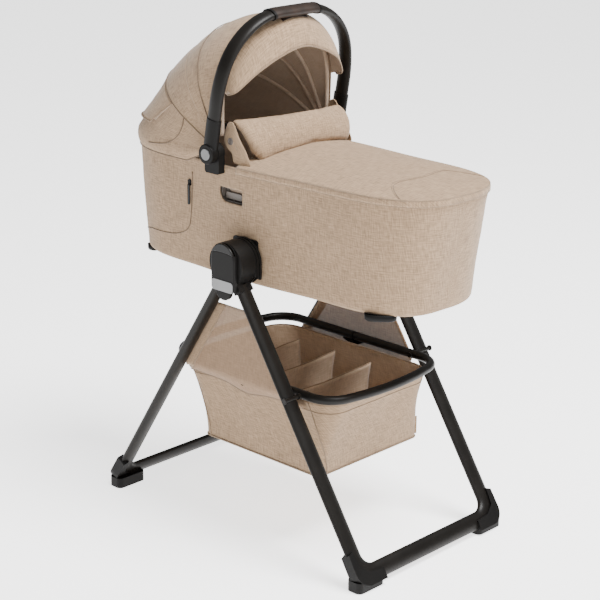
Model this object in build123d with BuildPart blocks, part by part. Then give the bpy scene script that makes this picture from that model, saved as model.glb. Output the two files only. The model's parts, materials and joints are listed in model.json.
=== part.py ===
from build123d import *
import math
import os

# Bassinet on a folding stand.  +X is the foot end, -X the head end, Y is across, +Z is up.
# While it is drawn, the stand's hub axis stands at X = 0.  Each piece is then written
# ORIGIN_SHIFT further along X, which centres the whole object over the origin.
# Pieces that come in pairs are drawn once on the +Y side and mirrored.

os.makedirs("parts", exist_ok=True)

# ---------------------------------------------------------------- driving dimensions (mm)
ORIGIN_SHIFT = -12.9

# stand
hub_z = 636            # height of the folding axis
corner_x = 387         # where a leg's axis meets its floor bar's axis
corner_z = 30
leg_y = 218            # legs' distance from the middle plane
tube_a = 19.3          # oval tube, half of its wide side
tube_b = 9.9           # oval tube, half of its narrow side
wall = 1.6
base_stub = 65         # the bent base tube's straight end above the corner
bend_r = 45
leg_top_front = 52     # where each leg starts, measured from the folding axis
leg_top_rear = 64
shoe_tip_x = 403
shoe_width = 40
shoe_in_y = 160
shoe_out_y = 241
shoe_h = 24
pad_h = 3

leg_length = math.hypot(corner_x, hub_z - corner_z)
leg_dx = corner_x / leg_length
leg_dz = (hub_z - corner_z) / leg_length
leg_angle = math.degrees(math.asin(leg_dx))

# hub
pin_r = 6
run_fit = 0.05
gap = 0.3
drum_r = 50
tongue_in = 214        # tongue's faces, along Y
tongue_out = 222
face_in = 237.6        # the hub's outer cover
face_out = 247.5
spring_seat = 232       # bottom of the fold button's spring bore
spring_up = 38

# basket
rail_z = 373
rail_y = 181
rail_r = 10
rail_pivot_x = 178
rail_corner_r = 62
rail_bow_r = 600
knuckle_drop = 17.5
basket_floor_z = 186
basket_top_z = 359
divider_places = (-130, -40, 70)

# bassinet
rim_z = 832
floor_z = 583
skin = 3
mount_y = 179.5        # outer face of the bassinet's mount brackets

# handle and canopy axis
pivot_x = -85
pivot_z = 860
handle_lean = 10
handle_y = 200
handle_top = 296
handle_flat = 45       # half of the straight stretch at the top
handle_r = 150         # shoulder arc
handle_turn = 75       # degrees that each shoulder turns
socket_end = 78
button_r = 13
grip_turn = 8          # degrees of each shoulder that the grip covers
front_bow_lean = 2
mid_bow_lean = -40

shoulder_y = handle_flat + handle_r * math.sin(math.radians(handle_turn))
shoulder_v = handle_top - handle_r * (1 - math.cos(math.radians(handle_turn)))
side_r = (handle_y - shoulder_y) / (1 - math.sin(math.radians(handle_turn)))
side_v = shoulder_v - side_r * math.cos(math.radians(handle_turn))


def write(block, name):
    piece = block.part.moved(Location((ORIGIN_SHIFT, 0, 0)))
    piece.label = name
    export_step(piece, f"parts/{name}.step")


def write_pair(block, name):
    """Left and right pieces, each in a node of its own."""
    write(block, f"{name}_left")
    twin = mirror(block.part, about=Plane.XZ).moved(Location((ORIGIN_SHIFT, 0, 0)))
    twin.label = f"{name}_right"
    export_step(twin, f"parts/{name}_right.step")


def write_set(block, name):
    """Left and right copies of one small piece, as two solids of one node."""
    twin = mirror(block.part, about=Plane.XZ)
    group = Compound([*block.part.solids(), *twin.solids()])
    piece = group.moved(Location((ORIGIN_SHIFT, 0, 0)))
    piece.label = name
    export_step(piece, f"parts/{name}.step")


def side_plane(y, x=0, z=0):
    """Plane across the bassinet at a distance y: local x is -X, local y is +Z, normal +Y."""
    return Plane(origin=(x, y, z), x_dir=(-1, 0, 0), z_dir=(0, 1, 0))


def leg_plane(end, distance):
    """Plane square to a leg, at a distance from the folding axis; end is 1 front, -1 rear."""
    return Plane(
        origin=(end * leg_dx * distance, leg_y, hub_z - leg_dz * distance),
        x_dir=(0, 1, 0),
        z_dir=(end * leg_dx, 0, -leg_dz),
    )


def frame_plane(end):
    """Plane of a bent base tube: local x is +Y and local y runs up the legs."""
    return Plane(origin=(end * corner_x, 0, corner_z), x_dir=(0, 1, 0), z_dir=(leg_dz, 0, end * leg_dx))


# ================================================================ stand: legs and base
def make_leg(end, top):
    with BuildPart() as leg:
        with BuildSketch(leg_plane(end, top)):
            Ellipse(tube_a, tube_b)
            Ellipse(tube_a - wall, tube_b - wall, mode=Mode.SUBTRACT)
        extrude(amount=leg_length - base_stub - top)
        if end > 0:
            with BuildSketch(side_plane(leg_y - 30, rail_pivot_x, rail_z)):
                Circle(4)
            extrude(amount=60, mode=Mode.SUBTRACT)
    return leg


def make_base(end):
    plane = frame_plane(end)
    with BuildPart() as base:
        with BuildLine(plane) as path:
            FilletPolyline(
                (-leg_y, base_stub), (-leg_y, 0), (leg_y, 0), (leg_y, base_stub), radius=bend_r
            )
        down = plane.y_dir * -1
        start = plane.from_local_coords((-leg_y, base_stub))
        with BuildSketch(Plane(origin=start, x_dir=(0, 1, 0), z_dir=down)):
            Ellipse(tube_a, tube_b)
            Ellipse(tube_a - wall, tube_b - wall, mode=Mode.SUBTRACT)
        sweep(path=path.wire())
    return base


def make_shoe(end):
    """Corner shoe: a toe on the floor and a cheek wrapped round the outside of the bend."""
    plane = frame_plane(end)
    middle_x = end * (shoe_tip_x - shoe_width / 2)
    middle_y = (shoe_in_y + shoe_out_y) / 2
    with BuildPart() as shoe:
        with BuildSketch(Plane.XY.offset(1)):
            with Locations((middle_x, middle_y)):
                RectangleRounded(shoe_width, shoe_out_y - shoe_in_y, 12)
        extrude(amount=shoe_h)
        with BuildSketch(plane):
            with BuildLine():
                Line((leg_y - 58, -24), (leg_y - 10, -24))
                ThreePointArc((leg_y - 10, -24), (leg_y + 13, -14), (leg_y + 23, 10))
                Polyline(
                    (leg_y + 23, 10), (leg_y + 22, 52), (leg_y + 8, 58), (leg_y + 4, 20),
                    (leg_y - 20, 4), (leg_y - 58, 0), (leg_y - 58, -24),
                )
            make_face()
        extrude(amount=13, both=True)
        split(bisect_by=Plane.XY.offset(1), keep=Keep.TOP)
        with BuildSketch(Plane.XY):
            with Locations((middle_x, middle_y)):
                RectangleRounded(30, 66, 8)
        extrude(amount=pad_h, mode=Mode.SUBTRACT)
        with BuildLine(plane) as path:
            FilletPolyline((leg_y - 90, 0), (leg_y, 0), (leg_y, 90), radius=bend_r)
        start = plane.from_local_coords((leg_y - 90, 0))
        with BuildSketch(Plane(origin=start, x_dir=plane.y_dir, z_dir=(0, 1, 0))):
            Ellipse(tube_a, tube_b)
        sweep(path=path.wire(), mode=Mode.SUBTRACT)
    return shoe


def make_pad(end):
    with BuildPart() as pad:
        with BuildSketch(Plane.XY):
            with Locations((end * (shoe_tip_x - shoe_width / 2), (shoe_in_y + shoe_out_y) / 2)):
                RectangleRounded(30, 66, 8)
        extrude(amount=pad_h)
    return pad


# ================================================================ stand: hub
def make_tongue():
    """Rear leg's hinge tongue: a disc on the hub pin, a neck, and a plug inside the tube."""
    with BuildPart() as tongue:
        with BuildSketch(side_plane(tongue_in, 0, hub_z)):
            Circle(26)
            with Locations(Location((0, 0), leg_angle)):
                with Locations((0, -leg_top_rear / 2)):
                    Rectangle(15, leg_top_rear)
        extrude(amount=tongue_out - tongue_in)
        with BuildSketch(leg_plane(-1, leg_top_rear - 5)):
            Ellipse(tube_a - wall - 0.1, tube_b - wall - 0.1)
        extrude(amount=45)
        with BuildSketch(side_plane(tongue_in - 1, 0, hub_z)):
            Circle(pin_r + run_fit)
        extrude(amount=20, mode=Mode.SUBTRACT)
    return tongue


def hub_profile():
    """Drum round the pin, with the socket arm that holds the front leg's top."""
    Circle(drum_r)
    with Locations(Location((0, 0), -leg_angle)):
        with Locations((0, -34)):
            Rectangle(2 * tube_b, 68)


def make_leg_socket():
    """Room for the front leg's top, taken out of both hub casings."""
    with BuildPart() as socket:
        with BuildSketch(leg_plane(1, leg_top_front)):
            Ellipse(tube_a + 0.1, tube_b + 0.1)
        extrude(amount=60)
    return socket


def make_inner_casing():
    socket = make_leg_socket()
    with BuildPart() as casing:
        with BuildSketch(side_plane(198, 0, hub_z)):
            hub_profile()
        extrude(amount=tongue_in - gap - 198)
        with BuildSketch(side_plane(tongue_in - gap, 0, hub_z)):
            Circle(drum_r)
            Circle(34, mode=Mode.SUBTRACT)
            with BuildLine():
                Polyline((0, 0), (96, -80), (60, -200), (-120, -200), (-70, -110), close=True)
            make_face(mode=Mode.SUBTRACT)
        extrude(amount=tongue_out - tongue_in + 2 * gap)
        add(socket.part, mode=Mode.SUBTRACT)
        with BuildSketch(side_plane(190, 0, hub_z)):
            Circle(pin_r)
        extrude(amount=60, mode=Mode.SUBTRACT)
    return casing


def tombstone(half_width, low, centre=0):
    """Arch outline: a half round on top of a straight-sided plate."""
    with Locations((0, centre)):
        Circle(half_width)
    with Locations((0, (low + centre) / 2)):
        Rectangle(2 * half_width, centre - low)


def make_outer_casing():
    socket = make_leg_socket()
    with BuildPart() as casing:
        with BuildSketch(side_plane(tongue_out + gap, 0, hub_z)):
            hub_profile()
        extrude(amount=face_in - tongue_out - gap)
        with BuildSketch(side_plane(face_in, 0, hub_z)):
            tombstone(36, -54, 14)
            with Locations((0, -54)):
                Circle(23)
        extrude(amount=face_out - face_in)
        fillet(casing.faces().sort_by(Axis.Y)[-1].edges(), 4)
        add(socket.part, mode=Mode.SUBTRACT)
        with BuildSketch(side_plane(face_in + 2.4, 0, hub_z)):
            with BuildLine():
                ThreePointArc((-60, 18), (0, 30), (60, 18))
                Polyline((60, 18), (60, 90), (-60, 90), (-60, 18))
            make_face()
        extrude(amount=20, mode=Mode.SUBTRACT)
        with BuildSketch(side_plane(190, 0, hub_z)):
            Circle(pin_r)
        extrude(amount=50, mode=Mode.SUBTRACT)
        with BuildSketch(side_plane(spring_seat, 0, hub_z + spring_up)):
            Circle(6.2)
        extrude(amount=20, mode=Mode.SUBTRACT)
        with BuildSketch(side_plane(face_out - 1, 0, hub_z - 44)):
            RectangleRounded(64, 25, 7)
        extrude(amount=5, mode=Mode.SUBTRACT)
    return casing


def make_fold_button():
    """Upper part of the hub's face, pressed inwards to free the fold."""
    with BuildPart() as button:
        with BuildSketch(side_plane(face_in + 2.4 + 4.4, 0, hub_z)) as shape:
            tombstone(35.6, -54, 14)
            with BuildLine():
                ThreePointArc((-60, 18.5), (0, 30.5), (60, 18.5))
                Polyline((60, 18.5), (60, -90), (-60, -90), (-60, 18.5))
            make_face(mode=Mode.SUBTRACT)
        extrude(amount=4)
        fillet(button.faces().sort_by(Axis.Y)[-1].edges(), 2)
    return button


def make_coil(radius, wire, length, plane):
    """Round-wire compression spring, standing on a plane."""
    with BuildPart() as coil:
        with BuildLine() as path:
            Helix(
                pitch=length / 3, height=length, radius=radius, center=plane.origin, direction=plane.z_dir
            )
        start = path.line @ 0
        with BuildSketch(Plane(origin=start, z_dir=path.line % 0)):
            Circle(wire)
        sweep(path=path.line, is_frenet=True)
    return coil


def make_badge_plate():
    with BuildPart() as plate:
        with BuildSketch(side_plane(face_out - 1, 0, hub_z - 44)):
            RectangleRounded(63.6, 24.6, 6.8)
        extrude(amount=2.2)
        fillet(plate.faces().sort_by(Axis.Y)[-1].edges(), 0.6)
    return plate


def make_hub_pin():
    with BuildPart() as pin:
        with BuildSketch(side_plane(200)):
            with Locations((0, hub_z)):
                Circle(pin_r)
        extrude(amount=36)
    return pin


def make_mount_arch():
    """Stepped arch on the hub's inner side, with the post that carries the bassinet."""
    with BuildPart() as arch:
        for y, half_width, low in ((180, 52, -33), (186.5, 50.5, -30), (192, 49, -26)):
            with BuildSketch(side_plane(y, 0, hub_z)):
                tombstone(half_width, low)
            extrude(amount=6 if y > 190 else 5.6)
        fillet(arch.faces().sort_by(Axis.Y)[-1].edges(), 1)
        with BuildSketch(side_plane(174, 0, hub_z)):
            RectangleRounded(39, 44, 6)
        extrude(amount=6.2)
        for y in (185.4, 191):
            with BuildSketch(side_plane(y, 0, hub_z)):
                tombstone(47.5, -24)
            extrude(amount=1.8)
    return arch


# ================================================================ stand: basket
def rail_path(side, tip):
    """Half of the basket's rim seen from above: two straight sides, corners and a bowed end."""
    corner_y = rail_y - rail_corner_r
    reach = rail_bow_r - rail_corner_r
    bow_angle = math.degrees(math.asin(corner_y / reach))
    bow_x = tip - rail_bow_r
    corner_x_in = bow_x + reach * math.cos(math.radians(bow_angle))
    start = (side * 1.5, rail_y)
    Line(start, (side * corner_x_in, rail_y))
    if side > 0:
        CenterArc((corner_x_in, corner_y), rail_corner_r, 90, -(90 - bow_angle))
        CenterArc((bow_x, 0), rail_bow_r, bow_angle, -2 * bow_angle)
        CenterArc((corner_x_in, -corner_y), rail_corner_r, -bow_angle, -(90 - bow_angle))
    else:
        CenterArc((-corner_x_in, corner_y), rail_corner_r, 90, 90 - bow_angle)
        CenterArc((-bow_x, 0), rail_bow_r, 180 - bow_angle, 2 * bow_angle)
        CenterArc((-corner_x_in, -corner_y), rail_corner_r, 180 + bow_angle, 90 - bow_angle)
    Line((side * corner_x_in, -rail_y), (side * 1.5, -rail_y))


def make_rail(side, tip):
    with BuildPart() as rail:
        with BuildLine(Plane.XY.offset(rail_z)) as path:
            rail_path(side, tip)
        with BuildSketch(Plane(origin=(side * 1.5, rail_y, rail_z), z_dir=(side, 0, 0))):
            Circle(rail_r)
            Circle(rail_r - wall, mode=Mode.SUBTRACT)
        sweep(path=path.wire())
        if side > 0:
            with BuildSketch(side_plane(-rail_y - 20, rail_pivot_x, rail_z)):
                Circle(4 + run_fit)
            extrude(amount=2 * rail_y + 40, mode=Mode.SUBTRACT)
    return rail


def make_front_knuckle():
    """Tongue under the front rail's end, on the folding knuckle's pin."""
    with BuildPart() as knuckle:
        with BuildSketch(side_plane(rail_y - 3, 0, rail_z - knuckle_drop)):
            Circle(7)
            with BuildLine():
                Polyline((0, 7), (-5, 10), (-30, 10), (-30, 7), (-6, -2), (0, -2), close=True)
            make_face()
            Circle(2.5, mode=Mode.SUBTRACT)
        extrude(amount=6)
        with BuildSketch(Plane(origin=(-1, rail_y, rail_z), z_dir=(1, 0, 0))):
            Circle(rail_r)
        extrude(amount=60, mode=Mode.SUBTRACT)
    return knuckle


def make_rear_knuckle():
    """Two ears under the rear rail's end, with the knuckle's pin fixed between them."""
    with BuildPart() as knuckle:
        for low in (rail_y - 8.3, rail_y + 3.3):
            with BuildSketch(side_plane(low, 0, rail_z - knuckle_drop)):
                Circle(7)
                with BuildLine():
                    Polyline((0, 7), (5, 10), (30, 10), (30, 7), (6, -2), (0, -2), close=True)
                make_face()
            extrude(amount=5)
        with BuildSketch(side_plane(rail_y - 8, 0, rail_z - knuckle_drop)):
            Circle(2.5 - run_fit)
        extrude(amount=16)
        with BuildSketch(Plane(origin=(1, rail_y, rail_z), z_dir=(-1, 0, 0))):
            Circle(rail_r)
        extrude(amount=60, mode=Mode.SUBTRACT)
    return knuckle


def make_rail_bolt():
    """Bolt through the front leg and rail, with a bright spacer between the two."""
    with BuildPart() as bolt:
        with BuildSketch(side_plane(rail_y - 12, rail_pivot_x, rail_z)):
            Circle(4)
        extrude(amount=leg_y + tube_a + 2 - rail_y + 12)
        with BuildSketch(side_plane(rail_y + rail_r + gap, rail_pivot_x, rail_z)):
            Circle(6)
        extrude(amount=leg_y - tube_a - rail_y - rail_r - 2 * gap)
        with BuildSketch(side_plane(leg_y + tube_a + 0.2, rail_pivot_x, rail_z)):
            Circle(6.5)
        extrude(amount=3)
        with BuildSketch(side_plane(rail_y - 13, rail_pivot_x, rail_z)):
            Circle(6)
        extrude(amount=2)
    return bolt


def basket_section(level_z, inset=0.0):
    """Level outline of the basket bag: a rounded rectangle that shrinks towards the floor."""
    share = (level_z - basket_floor_z) / (basket_top_z - basket_floor_z)
    front = 210 + 46 * share - inset
    rear = -145 - 85 * share + inset
    half = 164 + 6 * share - inset
    with BuildSketch(Plane.XY.offset(level_z)) as section:
        with Locations(((front + rear) / 2, 0)):
            RectangleRounded(front - rear, 2 * half, 34 + 22 * share - inset / 2)
    return section.sketch


def make_basket():
    """Fabric bag that hangs inside the rail, open at the top."""
    outside = [basket_section(basket_top_z), basket_section(basket_floor_z)]
    inside = [basket_section(basket_top_z + 0.1, skin), basket_section(basket_floor_z + skin, skin)]
    with BuildPart() as bag:
        loft(outside)
        loft(inside, mode=Mode.SUBTRACT)
    return bag


def make_floor_board():
    with BuildPart() as board:
        with BuildSketch(Plane.XY.offset(basket_floor_z + skin + 0.5)):
            with Locations((32.5, 0)):
                RectangleRounded(336, 310, 34)
        extrude(amount=4)
    return board


def make_dividers():
    """Three upright cloth walls across the basket."""
    with BuildPart() as dividers:
        for x in divider_places:
            with BuildSketch(Plane(origin=(x, 0, 0), x_dir=(0, 1, 0), z_dir=(1, 0, 0))):
                with BuildLine():
                    Polyline((-146, 196), (146, 196), (154, 330), (-154, 330), close=True)
                make_face()
            extrude(amount=2)
    return dividers


def make_side_panel():
    """Sheer cloth stretched between the two legs of one side, from hub to basket."""
    with BuildPart() as panel:
        with BuildSketch(side_plane(195.2, 0, 0)):
            with BuildLine():
                Polyline(
                    (-44, 540), (44, 540), (183, 322), (100, 346), (0, 322), (-100, 340), (-160, 352),
                    close=True,
                )
            make_face()
        extrude(amount=2)
    return panel


# ================================================================ bassinet: plan outlines
# Each end is a quarter of a superellipse on both sides of the middle plane, from the points
# where the ends begin at X = +END_X and -END_X; between them the sides bow out a little.
END_X = 200
RIM = {"foot": (260, 164, 2.9), "middle": 177, "head": (235, 168, 2.8)}
FLOOR = {"foot": (220, 153, 3.0), "middle": 168, "head": (215, 160, 2.8)}
END_STEPS = 6


def half_outline(shape):
    """Points of half a plan outline, from the foot end's tip to the head end's tip."""
    reach, width, power = shape["foot"]
    points = []
    for step in range(END_STEPS + 1):
        turn = math.pi / 2 * step / END_STEPS
        x = END_X + reach * math.cos(turn) ** (2 / power)
        points.append((x, width * math.sin(turn) ** (2 / power)))
    points.append((0, shape["middle"]))
    reach, width, power = shape["head"]
    for step in range(END_STEPS + 1):
        turn = math.pi / 2 * step / END_STEPS
        x = -END_X - reach * math.sin(turn) ** (2 / power)
        points.append((x, width * math.cos(turn) ** (2 / power)))
    return points


def cot_level(height, inset=0.0):
    """Plan outline at a height (0 floor, 1 rim), pulled in by an inset, on its own plane."""
    half = []
    for (rim_x, rim_y), (low_x, low_y) in zip(half_outline(RIM), half_outline(FLOOR)):
        x = low_x + (rim_x - low_x) * height ** 1.5
        y = low_y + (rim_y - low_y) * height
        half.append((12 + (x - 12) * (1 - inset / 435), y * (1 - inset / 165)))
    other = [(x, -y) for x, y in reversed(half[1:-1])]
    with BuildSketch(Plane.XY.offset(floor_z + (rim_z - floor_z) * height)) as level:
        with BuildLine():
            Spline(*half, *other, periodic=True)
        make_face()
    return level.sketch


def cot_levels(low, high, inset):
    return [cot_level(height, inset) for height in (low, (low + high) / 2, high)]


def make_tub(outer, inner=None):
    """Solid between two levels, less another one; each is (low, high, inset)."""
    outside = cot_levels(*outer)
    inside = cot_levels(*inner) if inner else None
    with BuildPart() as tub:
        loft(outside)
        if inside:
            loft(inside, mode=Mode.SUBTRACT)
    return tub


def make_cot_fabric():
    """Outer cloth body: a tub with an open top, a finger window in each side."""
    tub = make_tub((0, 1, 0), (0.012, 1.02, skin))
    with BuildPart() as body:
        add(tub.part)
        with BuildSketch(side_plane(-230, -43, 770)):
            RectangleRounded(72, 34, 9)
        extrude(amount=460, mode=Mode.SUBTRACT)
        with BuildSketch(side_plane(-230, 0, 650)):
            Rectangle(74, 92)
        extrude(amount=460, mode=Mode.SUBTRACT)
    return body


def make_cot_tray():
    """Moulded tray under the mattress."""
    return make_tub((0.014, 0.2, 7), (0.034, 0.22, 11))


def make_liner():
    return make_tub((0.05, 0.93, 18), (0.064, 0.98, 20.5))


def make_mattress():
    return make_tub((0.07, 0.2, 23))


def make_rim_frame():
    """Oval aluminium tube inside the top edge."""
    return make_tub((0.945, 0.99, 4), (0.94, 1.0, 17))


def make_apron():
    """Cloth cover over the foot half, fastened round the rim."""
    outline = cot_level(1.0, 2)
    with BuildPart() as apron:
        extrude(outline, amount=8, dir=(0, 0, 1))
        with BuildSketch(Plane.XY.offset(rim_z - 5)):
            with Locations((-300, 0)):
                Rectangle(600, 500)
        extrude(amount=40, mode=Mode.SUBTRACT)
        fillet(apron.faces().sort_by(Axis.Z)[-1].edges(), 2.5)
    return apron


def make_wind_flap():
    """Padded band folded up at the apron's head edge."""
    with BuildPart() as flap:
        with BuildSketch(Plane(origin=(0, -150, 0), x_dir=(1, 0, 0), z_dir=(0, -1, 0))) as profile:
            with BuildLine():
                Spline((4, 842), (-14, 838), (-34, 880), (-42, 925), (-22, 915), (2, 872), periodic=True)
            make_face()
        extrude(amount=-300)
    return flap


def make_snap():
    with BuildPart() as snap:
        with BuildSketch(side_plane(151, -30, 880)):
            Circle(7)
        extrude(amount=3)
        fillet(snap.faces().sort_by(Axis.Y)[-1].edges(), 1)
    return snap


def make_mount_bracket():
    """Socket plate in the bassinet's side; its downward pocket drops over the hub's post."""
    with BuildPart() as bracket:
        with BuildSketch(side_plane(165.5, 0, 644.5)):
            RectangleRounded(73, 80, 6)
        extrude(amount=mount_y - 165.5)
        with BuildSketch(side_plane(173.4, 0, hub_z)):
            with Locations((0, -30)):
                Rectangle(40.2, 104.6)
        extrude(amount=20, mode=Mode.SUBTRACT)
    return bracket


def make_feet():
    """Two knobs under the head end and two long pads under the foot end, on one side."""
    with BuildPart() as feet:
        with BuildSketch(Plane.XY.offset(floor_z - 13)):
            with Locations((-365, 84)):
                Circle(12)
            with Locations((342, 92)):
                SlotOverall(62, 22)
        extrude(amount=13)
        fillet(feet.faces().group_by(Axis.Z)[0].edges(), 3)
    return feet


def make_window_frame():
    """Moulded liner of the finger window, with the pocket that the paddle slides in."""
    with BuildPart() as frame:
        with BuildSketch(side_plane(161, -43, 770)):
            RectangleRounded(71, 33, 8)
            RectangleRounded(65, 27, 6, mode=Mode.SUBTRACT)
        extrude(amount=12)
        with BuildSketch(side_plane(159.5, -43, 770)):
            RectangleRounded(71, 33, 8)
        extrude(amount=1.5)
    return frame


def make_paddle():
    """Finger paddle that frees the bassinet from the stand."""
    with BuildPart() as paddle:
        with BuildSketch(side_plane(161.4, -46, 766)):
            RectangleRounded(50, 16, 4)
        extrude(amount=6)
        fillet(paddle.faces().sort_by(Axis.Y)[-1].edges(), 1.5)
    return paddle


def make_zip_slider():
    with BuildPart() as slider:
        with BuildSketch(Plane(origin=(-181, -169.8, 774), x_dir=(1, 0, 0), z_dir=(0, -1, 0))):
            RectangleRounded(9, 14, 3)
        extrude(amount=4)
    return slider


def make_zip_pull():
    with BuildPart() as pull:
        with BuildSketch(Plane(origin=(-181, -174.2, 770), x_dir=(1, 0, 0), z_dir=(0, -1, 0))):
            with Locations((0, -22)):
                SlotOverall(48, 6.5, rotation=90)
            Circle(1.6, mode=Mode.SUBTRACT)
        extrude(amount=2.2)
    return pull


# ================================================================ handle
def lean_plane(lean, offset=0.0):
    """Plane through the handle's axis: local x is +Y, local y is up, leaning to the foot end."""
    tilt = math.radians(lean)
    return Plane(
        origin=(pivot_x + offset * math.cos(tilt), 0, pivot_z - offset * math.sin(tilt)),
        x_dir=(0, 1, 0),
        z_dir=(math.cos(tilt), 0, -math.sin(tilt)),
    )


def square_to(path, plane):
    """Plane square to a path at its start, with its x axis across the handle's plane."""
    return Plane(origin=path @ 0, x_dir=plane.z_dir, z_dir=path % 0)


def make_handle_tube():
    plane = lean_plane(handle_lean)
    shoulder_end = 90 - handle_turn
    with BuildPart() as tube:
        with BuildLine(plane) as path:
            Line((-handle_y, 40), (-handle_y, side_v))
            CenterArc((side_r - handle_y, side_v), side_r, 180, -shoulder_end)
            CenterArc((-handle_flat, handle_top - handle_r), handle_r, 90 + handle_turn, -handle_turn)
            Line((-handle_flat, handle_top), (handle_flat, handle_top))
            CenterArc((handle_flat, handle_top - handle_r), handle_r, 90, -handle_turn)
            CenterArc((handle_y - side_r, side_v), side_r, shoulder_end, -shoulder_end)
            Line((handle_y, side_v), (handle_y, 40))
        with BuildSketch(square_to(path.wire(), plane)):
            Ellipse(18, 9.5)
            Ellipse(16.5, 8, mode=Mode.SUBTRACT)
        sweep(path=path.wire())
    return tube


def make_handle_grip():
    """Leather sleeve round the top of the handle."""
    plane = lean_plane(handle_lean)
    with BuildPart() as grip:
        with BuildLine(plane) as path:
            CenterArc((-handle_flat, handle_top - handle_r), handle_r, 90 + grip_turn, -grip_turn)
            Line((-handle_flat, handle_top), (handle_flat, handle_top))
            CenterArc((handle_flat, handle_top - handle_r), handle_r, 90, -grip_turn)
        with BuildSketch(square_to(path.wire(), plane)):
            Ellipse(20, 11.4)
            Ellipse(18.2, 9.7, mode=Mode.SUBTRACT)
        sweep(path=path.wire())
    return grip


def make_grip_collar():
    """Moulded ring at the grip's end."""
    plane = lean_plane(handle_lean)
    with BuildPart() as collar:
        with BuildLine(plane) as path:
            CenterArc((handle_flat, handle_top - handle_r), handle_r, 90 - grip_turn - 0.15, -2)
        with BuildSketch(square_to(path.wire(), plane)):
            Ellipse(20.8, 12.2)
            Ellipse(18.2, 9.7, mode=Mode.SUBTRACT)
        sweep(path=path.wire())
    return collar


def make_handle_bracket():
    """Fixed bracket on the bassinet's rim with the pin that the handle turns on."""
    with BuildPart() as bracket:
        with BuildSketch(side_plane(178, pivot_x, pivot_z)):
            Circle(23)
            with Locations((0, -22)):
                RectangleRounded(44, 46, 6)
        extrude(amount=17.6)
        with BuildSketch(side_plane(178, pivot_x, pivot_z)):
            Circle(8)
        extrude(amount=27)
        with BuildSketch(side_plane(162, pivot_x, pivot_z)):
            Circle(4)
        extrude(amount=17)
    return bracket


def make_handle_hub():
    """Turning hub with the sleeve that holds the handle tube."""
    plane = lean_plane(handle_lean)
    with BuildPart() as hub:
        with BuildSketch(side_plane(196, pivot_x, pivot_z)):
            Circle(22)
        extrude(amount=18)
        fillet(hub.faces().sort_by(Axis.Y)[-1].edges(), 2)
        start = plane.from_local_coords((handle_y, 12))
        with BuildSketch(Plane(origin=start, x_dir=(0, 1, 0), z_dir=plane.y_dir)):
            Ellipse(11.5, 20)
        extrude(amount=socket_end - 12)
        tube_start = plane.from_local_coords((handle_y, 40))
        with BuildSketch(Plane(origin=tube_start, x_dir=(0, 1, 0), z_dir=plane.y_dir)):
            Ellipse(9.6, 18.1)
        extrude(amount=80, mode=Mode.SUBTRACT)
        with BuildSketch(side_plane(205.3, pivot_x, pivot_z)):
            Circle(button_r + 0.3)
        extrude(amount=20, mode=Mode.SUBTRACT)
        with BuildSketch(side_plane(180, pivot_x, pivot_z)):
            Circle(8 + run_fit)
        extrude(amount=30, mode=Mode.SUBTRACT)
        with BuildSketch(side_plane(170, pivot_x, pivot_z)):
            Circle(40)
        extrude(amount=26, mode=Mode.SUBTRACT)
    return hub


def make_handle_button():
    with BuildPart() as button:
        with BuildSketch(side_plane(209, pivot_x, pivot_z)):
            Circle(button_r)
        extrude(amount=6.5)
        fillet(button.faces().sort_by(Axis.Y)[-1].edges(), 1.5)
    return button


# ================================================================ canopy
def arch_line(half, top, corner, low):
    """Arch from one low end over the top to the other."""
    Line((-half, low), (-half, top - corner))
    CenterArc((corner - half, top - corner), corner, 180, -90)
    Line((corner - half, top), (half - corner, top))
    CenterArc((half - corner, top - corner), corner, 90, -90)
    Line((half, top - corner), (half, low))


def hoop_section(lean, half, top, low):
    """Whole area under an arch."""
    with BuildSketch(lean_plane(lean)) as section:
        with BuildLine():
            arch_line(half, top, 115, low)
            Line((half, low), (-half, low))
        make_face()
    return section.sketch


# (lean, top, half width) of the hood at stations from the front hoop to the head end
HOOD_STATIONS = ((1, 281, 174), (-22, 281, 174), (-40, 279, 173), (-62, 308, 172), (-88, 346, 171))


def make_canopy():
    """Cloth hood from the front hoop to the head end, open below and in front."""
    outside = [hoop_section(lean, half, top, 30) for lean, top, half in HOOD_STATIONS]
    inside = [hoop_section(lean, half - skin, top - skin, 20) for lean, top, half in HOOD_STATIONS]
    with BuildPart() as canopy:
        loft(outside)
        loft(inside, mode=Mode.SUBTRACT)
    return canopy


def make_visor():
    """Brim that droops forward from the front hoop."""
    back_lean, edge_lean = front_bow_lean + 0.3, front_bow_lean + 19
    outside = [hoop_section(back_lean, 174, 281, 110), hoop_section(edge_lean, 170, 243, 120)]
    inside = [
        hoop_section(back_lean - 1, 174 - skin, 281 - skin, 100),
        hoop_section(edge_lean + 1, 170 - skin, 240 - skin, 110),
    ]
    with BuildPart() as visor:
        loft(outside)
        loft(inside, mode=Mode.SUBTRACT)
    return visor


def make_bow(lean, half, top, lug_y):
    """Canopy hoop: a round rod with a flat lug on the canopy pin at each end."""
    plane = lean_plane(lean)
    with BuildPart() as bow:
        with BuildLine(plane) as path:
            arch_line(half, top, 120, 36)
        start = plane.from_local_coords((-half, 36))
        with BuildSketch(Plane(origin=start, x_dir=(0, 1, 0), z_dir=plane.y_dir)):
            Circle(3.5)
        sweep(path=path.wire())
        for side in (1, -1):
            with BuildSketch(side_plane(side * lug_y - 1.5, pivot_x, pivot_z)):
                with Locations(Location((0, 0), lean)):
                    with Locations((0, 20)):
                        Rectangle(6, 40)
                Circle(8)
            extrude(amount=3)
        with BuildSketch(side_plane(-200, pivot_x, pivot_z)):
            Circle(4 + run_fit)
        extrude(amount=400, mode=Mode.SUBTRACT)
    return bow


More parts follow.
